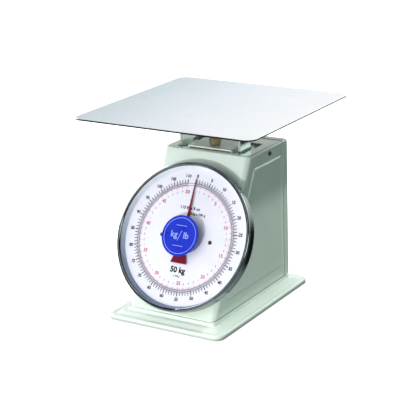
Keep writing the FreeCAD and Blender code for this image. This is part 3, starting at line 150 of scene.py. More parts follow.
def noise(nodes, links, vector, scale, detail=3.0, rough=0.5):
    """Noise pattern in the given coordinates."""
    node = nodes.new("ShaderNodeTexNoise")
    node.inputs["Scale"].default_value = scale
    node.inputs["Detail"].default_value = detail
    node.inputs["Roughness"].default_value = rough
    links.new(vector, node.inputs["Vector"])
    return node.outputs["Fac"]


NOISE_LOW = 0.3              # most of a noise pattern lies between these two
NOISE_HIGH = 0.7


def between(nodes, links, factor, low, high, start=NOISE_LOW, stop=NOISE_HIGH):
    """Value that runs from low to high as the factor runs from start to stop."""
    node = nodes.new("ShaderNodeMapRange")
    node.inputs["From Min"].default_value = start
    node.inputs["From Max"].default_value = stop
    node.inputs["To Min"].default_value = low
    node.inputs["To Max"].default_value = high
    links.new(factor, node.inputs["Value"])
    return node.outputs["Result"]


def rising(nodes, links, factor, start, stop):
    """Value that runs from 0 to 1 as the factor runs from start to stop."""
    return between(nodes, links, factor, 0.0, 1.0, start, stop)


def shades(nodes, links, factor, stops):
    """Colour ramp over the factor; stops are (position, (r, g, b))."""
    node = nodes.new("ShaderNodeValToRGB")
    ramp = node.color_ramp
    while len(ramp.elements) < len(stops):
        ramp.elements.new(0.5)
    for element, (position, colour) in zip(ramp.elements, stops):
        element.position = position
        element.color = (*colour, 1)
    links.new(factor, node.inputs["Fac"])
    return node.outputs["Color"]


def bump(nodes, links, height, strength, distance, shader, under=None):
    """Bump from a height into the shader's normal, over an earlier bump if there is one."""
    node = nodes.new("ShaderNodeBump")
    node.inputs["Strength"].default_value = strength
    node.inputs["Distance"].default_value = distance
    links.new(height, node.inputs["Height"])
    if under is not None:
        links.new(under, node.inputs["Normal"])
    links.new(node.outputs["Normal"], shader.inputs["Normal"])
    return node.outputs["Normal"]


def combine(nodes, links, operation, first, second):
    """One number from two sockets."""
    node = nodes.new("ShaderNodeMath")
    node.operation = operation
    links.new(first, node.inputs[0])
    links.new(second, node.inputs[1])
    return node.outputs["Value"]


def scaled(colour, factor):
    """Colour made darker or lighter."""
    return tuple(min(1.0, c * factor) for c in colour)


def two_tone(nodes, links, cloud, shader, dark, light):
    """Base colour that drifts from a dark tone to a light one with a noise pattern."""
    tint = shades(nodes, links, cloud, [(NOISE_LOW, dark), (NOISE_HIGH, light)])
    links.new(tint, shader.inputs["Base Color"])


def mottled(nodes, links, cloud, shader, colour, spread):
    """Base colour that drifts a little to either side of one colour."""
    two_tone(nodes, links, cloud, shader, scaled(colour, 1 - spread), scaled(colour, 1 + spread))


def mixed(nodes, links, factor, first, second, blend="MIX"):
    """Mix of two colours; each of the three may be a socket or a fixed value."""
    node = nodes.new("ShaderNodeMix")
    node.data_type = "RGBA"
    node.blend_type = blend
    for value, label in ((factor, "Factor"), (first, "A"), (second, "B")):
        if isinstance(value, bpy.types.NodeSocket):
            links.new(value, node.inputs[label])
        else:
            node.inputs[label].default_value = value
    return node.outputs["Result"]


def reopened(made):
    """A finished material to paint over; returns (nodes, links, shader, its present base colour)."""
    nodes = made.node_tree.nodes
    shader = nodes["Principled BSDF"]
    return nodes, made.node_tree.links, shader, shader.inputs["Base Color"].links[0].from_socket


def parts(nodes, links, vector):
    """X, Y and Z of a vector socket."""
    node = nodes.new("ShaderNodeSeparateXYZ")
    links.new(vector, node.inputs["Vector"])
    return node.outputs


def object_place(nodes, links):
    """X, Y and Z of a point on the piece."""
    return parts(nodes, links, nodes.new("ShaderNodeTexCoord").outputs["Object"])


# ---------------------------------------------------------------------------
# Materials
# ---------------------------------------------------------------------------
ENAMEL_PEEL = 0.05           # strength of the fine orange peel
ENAMEL_WAVE = 0.03           # strength of the wider waves
RIM_SHADE = 0.57              # brightness of the painted shade at the rim's foot over that of the enamel
RIM_SHADE_FULL = 2.5 * MM     # painted shade in full up to this height, and none from the next
RIM_SHADE_END = 5.5 * MM
FINE_RELIEF = 0.2 * MM       # height of the finest texture on metal and plastic


def enamel(name, colour, rough=0.30):
    """Stoved enamel: faint mottling, orange peel and a clear skin."""
    made, nodes, links, shader = new_material(name)
    place = coordinates(nodes, links)
    cloud = noise(nodes, links, place, 14, 4)
    mottled(nodes, links, cloud, shader, colour, 0.03)
    fine = noise(nodes, links, place, 420, 2)
    wide = noise(nodes, links, place, 60, 3)
    links.new(between(nodes, links, cloud, rough * 0.95, rough * 1.08), shader.inputs["Roughness"])
    shader.inputs["Coat Weight"].default_value = 0.35
    shader.inputs["Coat Roughness"].default_value = 0.12
    peel = bump(nodes, links, fine, ENAMEL_PEEL, 0.1 * MM, shader)
    bump(nodes, links, wide, ENAMEL_WAVE, 0.6 * MM, shader, peel)
    return made


def base_enamel(name, colour):
    """Stoved enamel darkened round the bottom of the rim: painted shade where the rim meets the floor."""
    made = enamel(name, colour)
    nodes, links, shader, unshaded = reopened(made)
    height = object_place(nodes, links)["Z"]
    # painted shade: darker towards the foot of the rim, where the floor would block the light
    rim_shade = between(nodes, links, height, 1.0, 0.0, RIM_SHADE_FULL, RIM_SHADE_END)
    shade_tint = (RIM_SHADE, RIM_SHADE, RIM_SHADE, 1)
    links.new(mixed(nodes, links, rim_shade, unshaded, shade_tint, "MULTIPLY"), shader.inputs["Base Color"])
    return made


def steel(name, colour, rough, grain=(1, 1, 1), grain_scale=300, grain_depth=0.05, cloudy=0.07):
    """Bare or plated steel with a drawn grain and cloudy patches."""
    made, nodes, links, shader = new_material(name)
    shader.inputs["Metallic"].default_value = 1.0
    place = coordinates(nodes, links)
    drawn = coordinates(nodes, links, grain)
    cloud = noise(nodes, links, place, 22, 4)
    mottled(nodes, links, cloud, shader, colour, cloudy)
    lines = noise(nodes, links, drawn, grain_scale, 4, 0.6)
    links.new(between(nodes, links, lines, rough * 0.75, rough * 1.3), shader.inputs["Roughness"])
    bump(nodes, links, lines, grain_depth, FINE_RELIEF, shader)
    return made


# painted reflection: the top runs from grey on the left to white on the right
PLATFORM_REFLECTION_TINTS = [(0.0, (0.66, 0.76, 0.80)), (0.45, (0.86, 0.91, 0.95)), (1.0, (1.0, 1.0, 1.0))]
# painted shade and painted dark reflection on the rim's side wall
EDGE_SHADE_COLOUR = (0.035, 0.045, 0.045, 1)
EDGE_SHADE_START = 0.45 * MM       # the painted shade on the rim fades in between these two depths below the top
EDGE_SHADE_END = 0.20 * MM
FACING_UP = (0.80, 0.95)     # rise of the normal from side wall to flat top
FACING_DOWN = (-0.8, -0.5)   # and from flat underside to side wall


def platform_steel(name):
    """Brushed stainless sheet with a painted reflection that is greyer on its left, and a painted shade with
    painted dark reflection as a dark band round its narrow rim.
    """
    made = steel(name, (0.93, 0.95, 0.97), 0.30,
                 grain=(1, 40, 1), grain_scale=90, grain_depth=0.04, cloudy=0.02)
    nodes, links, shader, cloud = reopened(made)
    normal = parts(nodes, links, nodes.new("ShaderNodeNewGeometry").outputs["True Normal"])
    place = object_place(nodes, links)
    # painted shade: the side wall below the top edge takes the dark colour
    level = rising(nodes, links, place["Z"], CAD_HIGH.z - EDGE_SHADE_START, CAD_HIGH.z - EDGE_SHADE_END)
    flat = rising(nodes, links, normal["Z"], *FACING_UP)
    under = between(nodes, links, normal["Z"], 1.0, 0.0, *FACING_DOWN)
    clear = combine(nodes, links, "MAXIMUM", combine(nodes, links, "MAXIMUM", level, flat), under)
    # painted reflection across the sheet from left to right
    across = rising(nodes, links, place["X"], CAD_LOW.x, CAD_HIGH.x)
    tint = shades(nodes, links, across, PLATFORM_REFLECTION_TINTS)
    steel_with_reflection = mixed(nodes, links, 1.0, tint, cloud, "MULTIPLY")
    links.new(mixed(nodes, links, clear, EDGE_SHADE_COLOUR, steel_with_reflection), shader.inputs["Base Color"])
    return made


def chrome(name):
    """Bright chrome with faint polishing haze."""
    made, nodes, links, shader = new_material(name)
    shader.inputs["Metallic"].default_value = 1.0
    place = coordinates(nodes, links)
    cloud = noise(nodes, links, place, 35, 3)
    two_tone(nodes, links, cloud, shader, (0.27, 0.30, 0.31), (0.38, 0.41, 0.43))
    links.new(between(nodes, links, cloud, 0.05, 0.11), shader.inputs["Roughness"])
    fine = noise(nodes, links, place, 260, 2)
    bump(nodes, links, fine, 0.02, FINE_RELIEF, shader)
    return made


def brass(name):
    """Turned brass, a little tarnished."""
    made, nodes, links, shader = new_material(name)
    shader.inputs["Metallic"].default_value = 1.0
    place = coordinates(nodes, links)
    cloud = noise(nodes, links, place, 120, 4)
    two_tone(nodes, links, cloud, shader, (0.26, 0.20, 0.11), (0.74, 0.60, 0.36))
    links.new(between(nodes, links, cloud, 0.22, 0.40), shader.inputs["Roughness"])
    turned = noise(nodes, links, coordinates(nodes, links, (1, 1, 12)), 240, 2)
    bump(nodes, links, turned, 0.08, FINE_RELIEF, shader)
    return made


def plastic(name, colour, rough, coat=0.0, variation=0.06, gloss=0.5):
    """Moulded plastic or print ink with a slight unevenness."""
    made, nodes, links, shader = new_material(name)
    place = coordinates(nodes, links)
    cloud = noise(nodes, links, place, 45, 3)
    mottled(nodes, links, cloud, shader, colour, variation)
    links.new(between(nodes, links, cloud, rough * 0.85, rough * 1.15), shader.inputs["Roughness"])
    shader.inputs["Specular IOR Level"].default_value = gloss
    shader.inputs["Coat Weight"].default_value = coat
    shader.inputs["Coat Roughness"].default_value = 0.05
    fine = noise(nodes, links, place, 700, 2)
    bump(nodes, links, fine, 0.03, FINE_RELIEF, shader)
    return made


SURROUND_SHADE_TINTS = [(0.0, (0.22, 0.28, 0.46)), (0.45, (0.50, 0.56, 0.70)), (0.75, (0.86, 0.88, 0.95))]


def surround_enamel(name):
    """Satin blue-grey surround, darker at the foot of the dial and paler towards its top: painted shade at
    the foot and painted light at the top.
    """
    made = plastic(name, (0.92, 0.94, 0.97), 0.40, variation=0.08, gloss=0.2)
    nodes, links, shader, cloud = reopened(made)
    low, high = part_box("dial_surround")
    height = rising(nodes, links, object_place(nodes, links)["Z"], low[2], high[2])
    # painted shade low on the surround and painted light towards its top
    tint = shades(nodes, links, height, SURROUND_SHADE_TINTS)
    links.new(mixed(nodes, links, 1.0, tint, cloud, "MULTIPLY"), shader.inputs["Base Color"])
    return made


def rubber(name):
    """Matt black rubber with dust."""
    made, nodes, links, shader = new_material(name)
    place = coordinates(nodes, links)
    cloud = noise(nodes, links, place, 90, 5)
    dusty = [(0.35, (0.012, 0.012, 0.013)), (0.75, (0.05, 0.05, 0.048))]
    links.new(shades(nodes, links, cloud, dusty), shader.inputs["Base Color"])
    links.new(between(nodes, links, cloud, 0.75, 0.95), shader.inputs["Roughness"])
    bump(nodes, links, noise(nodes, links, place, 500, 3), 0.15, 2 * FINE_RELIEF, shader)
    return made


def clear_lens(name):
    """Thin clear dome: see-through, with a faint haze and a gloss."""
    made, nodes, links, shader = new_material(name)
    shader.inputs["IOR"].default_value = 1.49
    place = coordinates(nodes, links)
    cloud = noise(nodes, links, place, 18, 3)
    two_tone(nodes, links, cloud, shader, (0.045, 0.055, 0.075), (0.055, 0.065, 0.085))
    links.new(between(nodes, links, cloud, 0.03, 0.07), shader.inputs["Roughness"])
    links.new(between(nodes, links, cloud, 0.02, 0.035), shader.inputs["Alpha"])
    shader.inputs["Coat Weight"].default_value = 0.3
    shader.inputs["Coat Roughness"].default_value = 0.02
    return made


def floor_material():
    """Pale, almost white studio floor."""
    made, nodes, links, shader = new_material("studio_floor")
    place = coordinates(nodes, links)
    cloud = noise(nodes, links, place, 3, 3)
    two_tone(nodes, links, cloud, shader, (0.90, 0.90, 0.90), (0.93, 0.93, 0.93))
    shader.inputs["Roughness"].default_value = 0.7
    shader.inputs["Specular IOR Level"].default_value = 0.1
    shader.inputs["Emission Color"].default_value = (1, 1, 1, 1)
    shader.inputs["Emission Strength"].default_value = 0.55
    return made


ENAMEL_COLOUR = (0.72, 0.82, 0.745)
BASE_PAINTED_LIGHT = 1.08         # brightness of the base's enamel over the housing's: painted light, one paint made brighter on the base


def all_materials():
    """Every material, by the name that the assignment table uses."""
    return {
        "enamel": enamel("enamel", ENAMEL_COLOUR),
        "base_enamel": base_enamel("base_enamel", scaled(ENAMEL_COLOUR, BASE_PAINTED_LIGHT)),
        "inner_enamel": enamel("inner_enamel", (0.78, 0.90, 0.80), 0.4),
        "frame_enamel": enamel("frame_enamel", (0.72, 0.82, 0.72), 0.5),
        "platform_steel": platform_steel("platform_steel"),
        "leg_steel": steel("leg_steel", (0.80, 0.86, 0.83), 0.20, grain=(1, 1, 6), grain_scale=180),
        "zinc": steel("zinc", (0.62, 0.63, 0.62), 0.36, grain=(1, 1, 6), grain_scale=180, grain_depth=0.06),
        "spring_steel": steel("spring_steel", (0.32, 0.33, 0.34), 0.35),
        "screw_steel": steel("screw_steel", (0.55, 0.56, 0.56), 0.32, grain_scale=400),
        "dark_steel": steel("dark_steel", (0.12, 0.13, 0.12), 0.42, grain_scale=400),
        "chrome": chrome("chrome"),
        "brass": brass("brass"),
        "dial_white": plastic("dial_white", (0.80, 0.80, 0.90), 0.45, variation=0.02, gloss=0.1),
        "ink_black": plastic("ink_black", (0.010, 0.010, 0.014), 0.5, variation=0.2, gloss=0.05),
        "ink_red": plastic("ink_red", (0.52, 0.10, 0.18), 0.5, variation=0.1, gloss=0.05),
        "ink_mauve": plastic("ink_mauve", (0.12, 0.08, 0.15), 0.5, variation=0.1, gloss=0.05),
        "surround": surround_enamel("surround"),
        "gasket": rubber("gasket"),
        "rubber": rubber("rubber"),
        "badge_blue": plastic("badge_blue", (0.006, 0.026, 0.50), 0.30, variation=0.10, gloss=0.2),
        "badge_marks": plastic("badge_marks", (0.30, 0.38, 0.85), 0.35, coat=0.2, variation=0.05),
        "pointer_red": plastic("pointer_red", (0.20, 0.007, 0.022), 0.40, variation=0.08, gloss=0.08),
        "nylon": plastic("nylon", (0.75, 0.73, 0.66), 0.5, variation=0.05),
        "lens": clear_lens("lens"),
    }


NODE_MATERIALS = {
    "enamel": ["housing", "back_cover", "dial_pan"],
    "base_enamel": ["base_pan"],
    "inner_enamel": ["guide_plate"],
    "frame_enamel": ["main_frame"],
    "platform_steel": ["platform"],
    "leg_steel": ["leg_left", "leg_right"],
    "zinc": [
        "platform_carrier", "yoke_bar", "rack_arm", "movement_front_plate", "movement_rear_plate",
        "movement_pillars", "dial_posts", "spring_hanger", "upper_spring_plugs", "lower_spring_plugs",
        "upper_link_arms", "lower_link_arms"],
    "spring_steel": [
        "spring_left", "spring_right", "pointer_shaft", "roller_stud", "rack_pin", "link_pins",
        "upper_link_shaft", "lower_link_shaft"],
    "screw_steel": [
        "foot_screws", "housing_base_screws", "frame_base_screws", "back_cover_screws",
        "movement_plate_screws", "dial_pan_screws", "carrier_screws", "yoke_screws", "arm_screws"],
    "dark_steel": ["guide_plate_screws", "housing_side_screws", "dial_plate_screws"],
    "chrome": ["bezel"],
    "brass": ["zero_knob", "zero_screw", "pointer_hub", "pinion", "rack", "front_bush", "rear_bush"],
    "dial_white": ["dial_plate"],
    "surround": ["dial_surround"],
    "gasket": ["lens_gasket"],
    "lens": ["lens"],
    "badge_blue": ["lens_badge"],
    "pointer_red": ["pointer"],
    "nylon": ["guide_roller"],
    "rubber": [
        "rubber_foot_front_left", "rubber_foot_front_right", "rubber_foot_back_left",
        "rubber_foot_back_right"],
}


def paint_nodes(materials):
    """Give every CAD node its material."""
    for name, members in NODE_MATERIALS.items():
        for member in members:
            mesh = frame["nodes"][member].data
            mesh.materials.clear()
            mesh.materials.append(materials[name])


# ---------------------------------------------------------------------------
# Printed layers: flat shapes drawn as (across, up), then laid on the dial
# ---------------------------------------------------------------------------
PRINT_THICKNESS = 0.05 * MM
ARC_STEP = math.radians(1.5)


def text_mesh(words, size, weight, spacing):
    """Mesh of a line of plain type, centred on its own middle and made bolder by the weight."""
    curve = bpy.data.curves.new("type", "FONT")
    curve.body = words
    curve.size = size
    curve.offset = weight
    curve.space_character = spacing
    curve.align_x = "CENTER"
    curve.align_y = "CENTER"
    curve.extrude = PRINT_THICKNESS / 2
    curve.resolution_u = 3
    holder = bpy.data.objects.new("type", curve)
    bpy.context.scene.collection.objects.link(holder)
    bpy.context.view_layer.update()
    mesh = bpy.data.meshes.new_from_object(holder.evaluated_get(bpy.context.evaluated_depsgraph_get()))
    bpy.data.objects.remove(holder)
    bpy.data.curves.remove(curve)
    return mesh


def put_text(layer, words, size, x, y, weight, spacing=1.0):
    """Add a line of type to a layer, with its middle at (x, y)."""
    mesh = text_mesh(words, size, weight, spacing)
    mesh.transform(Matrix.Translation((x, y, PRINT_THICKNESS / 2)))
    layer.from_mesh(mesh)
    bpy.data.meshes.remove(mesh)


def put_bar(layer, r0, r1, angle, width):
    """Add a radial stroke at a clockwise angle from the top."""
    along = Vector((math.sin(angle), math.cos(angle), 0))
    side = Vector((along.y, -along.x, 0)) * (width / 2)
    low = [along * r0 - side, along * r0 + side, along * r1 + side, along * r1 - side]
    put_prism(layer, low)


def put_prism(layer, outline):
    """Add a flat prism of the print's thickness over an outline."""
    lift = Vector((0, 0, PRINT_THICKNESS))
    under = [layer.verts.new(p) for p in outline]
    over = [layer.verts.new(p + lift) for p in outline]
    layer.faces.new(list(reversed(under)))
    layer.faces.new(over)
    for i in range(len(outline)):
        j = (i + 1) % len(outline)
        layer.faces.new((under[i], under[j], over[j], over[i]))


def put_ring(layer, r0, r1):
    """Add a flat ring."""
    count = int(2 * math.pi / ARC_STEP)
    lift = Vector((0, 0, PRINT_THICKNESS))
    rows = []
    for i in range(count):
        spoke = Vector((math.sin(i * ARC_STEP), math.cos(i * ARC_STEP), 0))
        corners = (spoke * r0, spoke * r1, spoke * r1 + lift, spoke * r0 + lift)
        rows.append([layer.verts.new(p) for p in corners])
    for i in range(count):
        here = rows[i]
        after = rows[(i + 1) % count]
        for k in range(4):
            m = (k + 1) % 4
            layer.faces.new((here[k], after[k], after[m], here[m]))


def finish_layer(layer, name, material, place, body):
    """Turn a layer into a piece that rides on a body."""
    bmesh.ops.recalc_face_normals(layer, faces=layer.faces)
    mesh = bpy.data.meshes.new(name)
    layer.to_mesh(mesh)
    layer.free()
    mesh.transform(place)
    mesh.materials.append(material)
    piece = bpy.data.objects.new(name, mesh)
    bpy.context.scene.collection.objects.link(piece)
    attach(piece, body)


# Scale: 110 lb and 50 kg both take 350 degrees of the dial
FULL_SWEEP = math.radians(350.0)
POUNDS = 110
KILOGRAMS = 50
FIFTHS = 5                   # strokes in a kilogram
FIGURE_EVERY = 5             # pounds or kilograms between the large figures
POUND_ANGLE = FULL_SWEEP / POUNDS
KILOGRAM_ANGLE = FULL_SWEEP / KILOGRAMS
LB_LABEL_RADIUS = 91.6 * MM
LB_LINE_RADIUS = 80.9 * MM
KG_LINE_RADIUS = 77.2 * MM
KG_LABEL_RADIUS = 67.8 * MM
KG_SMALL_LABEL_RADIUS = KG_LABEL_RADIUS + 1.4 * MM
LINE_WIDTH = 0.7 * MM        # of the rings that carry the strokes
LADDER_WIDTH = 0.9 * MM      # of the rungs between the two rings
# Strokes as (length, width)
LB_FIVE_STROKE = (6.2 * MM, 1.4 * MM)
LB_STROKE = (5.4 * MM, 1.15 * MM)
LB_HALF_STROKE = (2.8 * MM, 0.50 * MM)
KG_STROKE = (3.2 * MM, 0.85 * MM)
KG_FIFTH_STROKE = (1.8 * MM, 0.55 * MM)
# Figures as (size, weight)
LB_FIGURE = (6.6 * MM, 0.26 * MM)
LB_FIGURE_SPACING = 0.95
KG_FIGURE = (7.2 * MM, 0.26 * MM)
KG_SMALL_FIGURE = (4.0 * MM, 0.14 * MM)
DIAL_WORDS = [               # words, size, across, up, weight
    ("110 lb x 8 oz", 6.4 * MM, -1.5 * MM, 43.5 * MM, 0.20 * MM),
    ("50 kg x 200 g", 5.2 * MM, 12.0 * MM, 35.8 * MM, 0.16 * MM),
    ("50 kg", 11.5 * MM, 0.0, -49.0 * MM, 0.5 * MM),
    ("x 200 g", 3.6 * MM, 0.0, -57.5 * MM, 0.10 * MM),
]


def on_circle(radius, angle):
    """Point at a clockwise angle from the top."""
    return radius * math.sin(angle), radius * math.cos(angle)


def print_pounds(layer):
    """Outer black scale: a stroke every 8 oz, longer every pound, and a figure every 5 lb."""
    for half in range(POUNDS * 2 + 1):
        if half % (2 * FIGURE_EVERY) == 0:
            length, width = LB_FIVE_STROKE
        elif half % 2 == 0:
            length, width = LB_STROKE
        else:
            length, width = LB_HALF_STROKE
        put_bar(layer, LB_LINE_RADIUS, LB_LINE_RADIUS + length, half * POUND_ANGLE / 2, width)
    size, weight = LB_FIGURE
    for pounds in range(0, POUNDS + 1, FIGURE_EVERY):
        x, y = on_circle(LB_LABEL_RADIUS, pounds * POUND_ANGLE)
        put_text(layer, str(pounds), size, x, y, weight, LB_FIGURE_SPACING)


def print_kilograms(layer):
    """Inner red scale: a stroke every 200 g, longer every kilogram, and small figures between the fives."""
    for fifth in range(KILOGRAMS * FIFTHS + 1):
        length, width = KG_STROKE if fifth % FIFTHS == 0 else KG_FIFTH_STROKE
        put_bar(layer, KG_LINE_RADIUS - length, KG_LINE_RADIUS, fifth * KILOGRAM_ANGLE / FIFTHS, width)
    for kilograms in range(1, KILOGRAMS + 1):
        rest = kilograms % FIGURE_EVERY
        size, weight = KG_SMALL_FIGURE if rest else KG_FIGURE
        radius = KG_SMALL_LABEL_RADIUS if rest else KG_LABEL_RADIUS
        x, y = on_circle(radius, kilograms * KILOGRAM_ANGLE)
        put_text(layer, str(rest or kilograms), size, x, y, weight)


def print_band(layer):
    """Two rings that carry the strokes, and the ladder of rungs between them."""
    inner = KG_LINE_RADIUS + LINE_WIDTH
    outer = LB_LINE_RADIUS - LINE_WIDTH
    put_ring(layer, outer, LB_LINE_RADIUS)
    put_ring(layer, KG_LINE_RADIUS, inner)
    for fifth in range(KILOGRAMS * FIFTHS):
        put_bar(layer, inner, outer, (fifth + 0.5) * KILOGRAM_ANGLE / FIFTHS, LADDER_WIDTH)


def make_dial_print(materials):
    """All of the print on the dial plate."""
    place = DIAL @ Matrix.Translation((0, 0, rise("dial_plate")[1]))
    black = bmesh.new()
    print_pounds(black)
    for line in DIAL_WORDS:
        put_text(black, *line)
    finish_layer(black, "dial_print_black", materials["ink_black"], place, "root")
    red = bmesh.new()
    print_kilograms(red)
    finish_layer(red, "dial_print_red", materials["ink_red"], place, "root")
    band = bmesh.new()
    print_band(band)
    finish_layer(band, "dial_print_band", materials["ink_mauve"], place, "root")


BADGE_RING = 0.86            # radius of the badge's ring over the badge's own
BADGE_RING_WIDTH = 0.7 * MM
BADGE_LIFT = 0.02 * MM
BADGE_UNITS = [("kg", -9.5 * MM), ("lb", 10.5 * MM)]
UNIT_SIZE = 13.0 * MM
UNIT_HEIGHT = 1.0 * MM
UNIT_WEIGHT = 0.20 * MM
DIVIDER_REACH = 8.0 * MM
DIVIDER_TILT = math.radians(18)
DIVIDER_WIDTH = 0.9 * MM
RULE_REACH = 9.0 * MM
RULE_OFFSET = 15.0 * MM
RULE_WIDTH = 0.8 * MM
EDGE_TOLERANCE = 0.01 * MM


def make_badge_marks(materials):
    """Plain marks on the badge: a thin ring, the two units, a divider and two rules."""
    radius = radius_about_pivot("lens_badge")
    marks = bmesh.new()
    put_ring(marks, radius * BADGE_RING, radius * BADGE_RING + BADGE_RING_WIDTH)
    for words, x in BADGE_UNITS:
        put_text(marks, words, UNIT_SIZE, x, UNIT_HEIGHT, UNIT_WEIGHT)
    put_bar(marks, -DIVIDER_REACH, DIVIDER_REACH, DIVIDER_TILT, DIVIDER_WIDTH)
    corners = [(-1, -1), (1, -1), (1, 1), (-1, 1)]
    for height in (-RULE_OFFSET, RULE_OFFSET):
        put_prism(marks, [Vector((a * RULE_REACH, height + b * RULE_WIDTH / 2, 0)) for a, b in corners])
    bmesh.ops.triangulate(marks, faces=marks.faces)
    apex = rise("lens_badge")[1]
    top_edge = max((v.co - PIVOT).dot(OUT) for v in frame["nodes"]["lens_badge"].data.vertices
                   if (v.co - PIVOT).cross(OUT).length > radius - EDGE_TOLERANCE)
    drop = (apex - top_edge) / radius ** 2
    for vertex in marks.verts:
        flat = vertex.co.x ** 2 + vertex.co.y ** 2
        vertex.co.z += apex - drop * flat + BADGE_LIFT
    finish_layer(marks, "badge_marks", materials["badge_marks"], DIAL, "root")


# ---------------------------------------------------------------------------
# Coil springs
# ---------------------------------------------------------------------------
SPRING_TURNS = 25
WIRE_RADIUS = 1.5 * MM
WIRE_SIDES = 10
STEPS_PER_TURN = 20


def make_spring(name, node, materials):
    """Coil, as one fixed mesh in the place of the CAD spring, which it hides."""
    low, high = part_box(node)
    middle = (low + high) / 2
    mean = (high.x - low.x) / 2 - WIRE_RADIUS
    z0 = low.z + WIRE_RADIUS
    z1 = high.z - WIRE_RADIUS
    count = SPRING_TURNS * STEPS_PER_TURN
    mesh = bmesh.new()
    rings = []
    for i in range(count + 1):
        share = i / count
        angle = 2 * math.pi * SPRING_TURNS * share
        radial = Vector((math.cos(angle), math.sin(angle), 0))
        centre = Vector((middle.x, middle.y, z0 + (z1 - z0) * share)) + radial * mean
        ring = []
        for k in range(WIRE_SIDES):
            turn = 2 * math.pi * k / WIRE_SIDES
            offset = radial * math.cos(turn) + Z_AXIS * math.sin(turn)
            ring.append(mesh.verts.new(centre + offset * WIRE_RADIUS))
        rings.append(ring)
    for here, after in zip(rings, rings[1:]):
        for k in range(WIRE_SIDES):
            m = (k + 1) % WIRE_SIDES
            mesh.faces.new((here[k], here[m], after[m], after[k]))
    mesh.faces.new(list(reversed(rings[0])))
    mesh.faces.new(rings[-1])
    bmesh.ops.recalc_face_normals(mesh, faces=mesh.faces)
    data = bpy.data.meshes.new(name)
    mesh.to_mesh(data)
    mesh.free()
    for face in data.polygons:
        face.use_smooth = len(face.vertices) == 4
    data.materials.append(materials["spring_steel"])
    piece = bpy.data.objects.new(name, data)
    bpy.context.scene.collection.objects.link(piece)
    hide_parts(node)
    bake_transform(piece)


# ---------------------------------------------------------------------------
# Floor and light
# ---------------------------------------------------------------------------
KEY_DIRECTION = Vector((-0.09, -1.168, -0.032)).normalized()
KEY_SIZE = 0.30
KEY_WATTS = 112.0
OVERHEAD_DIRECTION = Vector((0.46, 0.39, 0.84)).normalized()
OVERHEAD_SIZE = 0.4
OVERHEAD_WATTS = 72.0
LIGHT_DISTANCE = 4.0
LAMP_COLOUR = (1.0, 0.995, 0.98)
SKY_HORIZON = 1.90
SKY_ZENITH = 1.25
SKY_MIRRORED = 0.62          # share of the sky seen in bright metal
SKY_RIGHT = 0.02             # share of the sky's light that comes from the right
SKY_BEHIND = 0.98            # seen in bright metal only
GROUND = 0.85
GROUND_RIGHT = 0.48          # share of the ground's light that comes from the right
GROUND_MIRRORED = 0.50       # seen in bright metal only
RIGHT_TINT = (0.78, 1.0, 0.92, 1)
# Pairs of cosines over which one part of the tent passes into the next
RIGHT_EDGE = (0.0, 0.6)
BEHIND_EDGE = (0.1, 0.4)
ZENITH_EDGE = (0.40, 0.90)
GROUND_EDGE = (-0.08, 0.04)
BOARDS = [                   # seen in bright surfaces only: direction, inner and outer cosine, strength
    ((-0.80, -0.35, 0.30), 0.80, 0.68, 0.02),
    ((-0.755, 0.62, -0.21), 0.94, 0.88, 0.02),
    ((0.997, 0.03, 0.09), 0.94, 0.86, 0.02),
    ((0.505, 0.805, -0.304), 0.975, 0.93, 0.02),
    ((-0.51, 0.06, 0.86), 0.96, 0.90, 0.02),
    ((-0.90, 0.21, 0.38), 0.95, 0.92, 5.0),
    ((0.40, 0.81, 0.42), 0.97, 0.94, 4.0),
    ((0.937, -0.218, 0.217), 0.985, 0.965, 3.0),
]


FLOOR_HALF = 30.0
FLOOR_GAP = 0.2 * MM         # between the feet and the floor


def make_floor():
    """Wide plain floor that only the camera sees."""
    mesh = bpy.data.meshes.new("floor")
    corners = [(a * FLOOR_HALF, b * FLOOR_HALF, 0) for a, b in ((-1, -1), (1, -1), (1, 1), (-1, 1))]
    mesh.from_pydata(corners, [], [(0, 1, 2, 3)])
    mesh.materials.append(floor_material())
    floor = bpy.data.objects.new("floor", mesh)
    floor.location.z = CAD_LOW.z - FLOOR_GAP
    floor.visible_glossy = False
    floor.visible_diffuse = False
    bpy.context.scene.collection.objects.link(floor)


def make_light(name, direction, size, watts):
    """Round soft light aimed at the middle of the object."""
    data = bpy.data.lights.new(name, "AREA")
    data.shape = "DISK"
    data.size = size
    data.energy = watts
    data.color = LAMP_COLOUR
    light = bpy.data.objects.new(name, data)
    light.location = CAD_MIDDLE + direction * LIGHT_DISTANCE
    light.rotation_mode = "QUATERNION"
    light.rotation_quaternion = direction.to_track_quat("Z", "Y")
    light.visible_glossy = False
    bpy.context.scene.collection.objects.link(light)


def facing(nodes, links, direction, toward):
    """Cosine between a direction socket and a fixed direction."""
    node = nodes.new("ShaderNodeVectorMath")
    node.operation = "DOT_PRODUCT"
    node.inputs[1].default_value = Vector(toward).normalized()
    links.new(direction, node.inputs[0])
    return node.outputs["Value"]


def blended(nodes, links, factor, low, high):
    """Number that runs from one socket to another as the factor runs from 0 to 1."""
    node = nodes.new("ShaderNodeMix")
    for value, label in ((factor, "Factor"), (low, "A"), (high, "B")):
        if isinstance(value, float):
            node.inputs[label].default_value = value
        else:
            links.new(value, node.inputs[label])
    return node.outputs["Result"]


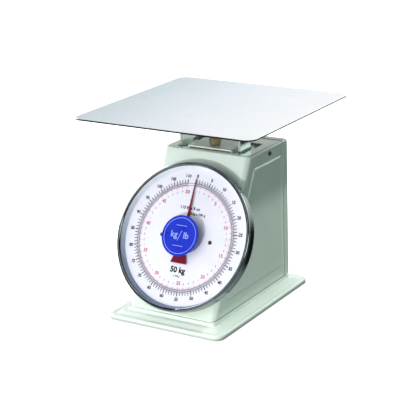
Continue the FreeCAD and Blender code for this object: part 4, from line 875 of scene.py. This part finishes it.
def make_world():
    """Pale tent, dimmer on the right, with boards for bright surfaces; plain white as a backdrop."""
    world = bpy.data.worlds.new("studio")
    world.use_nodes = True
    nodes = world.node_tree.nodes
    links = world.node_tree.links
    direction = nodes.new("ShaderNodeTexCoord").outputs["Generated"]
    path = nodes.new("ShaderNodeLightPath")
    glossy = path.outputs["Is Glossy Ray"]
    right = rising(nodes, links, facing(nodes, links, direction, (1, 0, 0)), *RIGHT_EDGE)
    behind = rising(nodes, links, facing(nodes, links, direction, (0, 1, 0)), *BEHIND_EDGE)
    upward = facing(nodes, links, direction, (0, 0, 1))
    sky = combine(nodes, links, "MULTIPLY",
                  between(nodes, links, upward, SKY_HORIZON, SKY_ZENITH, *ZENITH_EDGE),
                  between(nodes, links, right, 1.0, SKY_RIGHT, 0.0, 1.0))
    sky = combine(nodes, links, "MULTIPLY", sky, between(nodes, links, glossy, 1.0, SKY_MIRRORED, 0.0, 1.0))
    sky = blended(nodes, links, combine(nodes, links, "MULTIPLY", behind, glossy), sky, SKY_BEHIND)
    ground = combine(nodes, links, "MULTIPLY",
                     blended(nodes, links, glossy, GROUND, GROUND_MIRRORED),
                     between(nodes, links, right, 1.0, GROUND_RIGHT, 0.0, 1.0))
    level = blended(nodes, links, rising(nodes, links, upward, *GROUND_EDGE), ground, sky)
    for toward, inner, outer, strength in BOARDS:
        mask = rising(nodes, links, facing(nodes, links, direction, toward), outer, inner)
        shown = combine(nodes, links, "MULTIPLY", mask, glossy)
        level = blended(nodes, links, shown, level, strength)
    fill = nodes["Background"]
    links.new(mixed(nodes, links, right, (1, 1, 1, 1), RIGHT_TINT), fill.inputs["Color"])
    links.new(level, fill.inputs["Strength"])
    seen = nodes.new("ShaderNodeBackground")
    seen.inputs["Color"].default_value = (1, 1, 1, 1)
    seen.inputs["Strength"].default_value = 1.0
    mix = nodes.new("ShaderNodeMixShader")
    links.new(path.outputs["Is Camera Ray"], mix.inputs["Fac"])
    links.new(fill.outputs["Background"], mix.inputs[1])
    links.new(seen.outputs["Background"], mix.inputs[2])
    links.new(mix.outputs["Shader"], nodes["World Output"].inputs["Surface"])
    bpy.context.scene.world = world
    bpy.context.scene.view_settings.view_transform = "Standard"


make_camera()
finishes = all_materials()
paint_nodes(finishes)
make_dial_print(finishes)
make_badge_marks(finishes)
make_spring("spring_coil_left", "spring_left", finishes)
make_spring("spring_coil_right", "spring_right", finishes)
make_floor()
make_light("key", KEY_DIRECTION, KEY_SIZE, KEY_WATTS)
make_light("overhead", OVERHEAD_DIRECTION, OVERHEAD_SIZE, OVERHEAD_WATTS)
make_world()
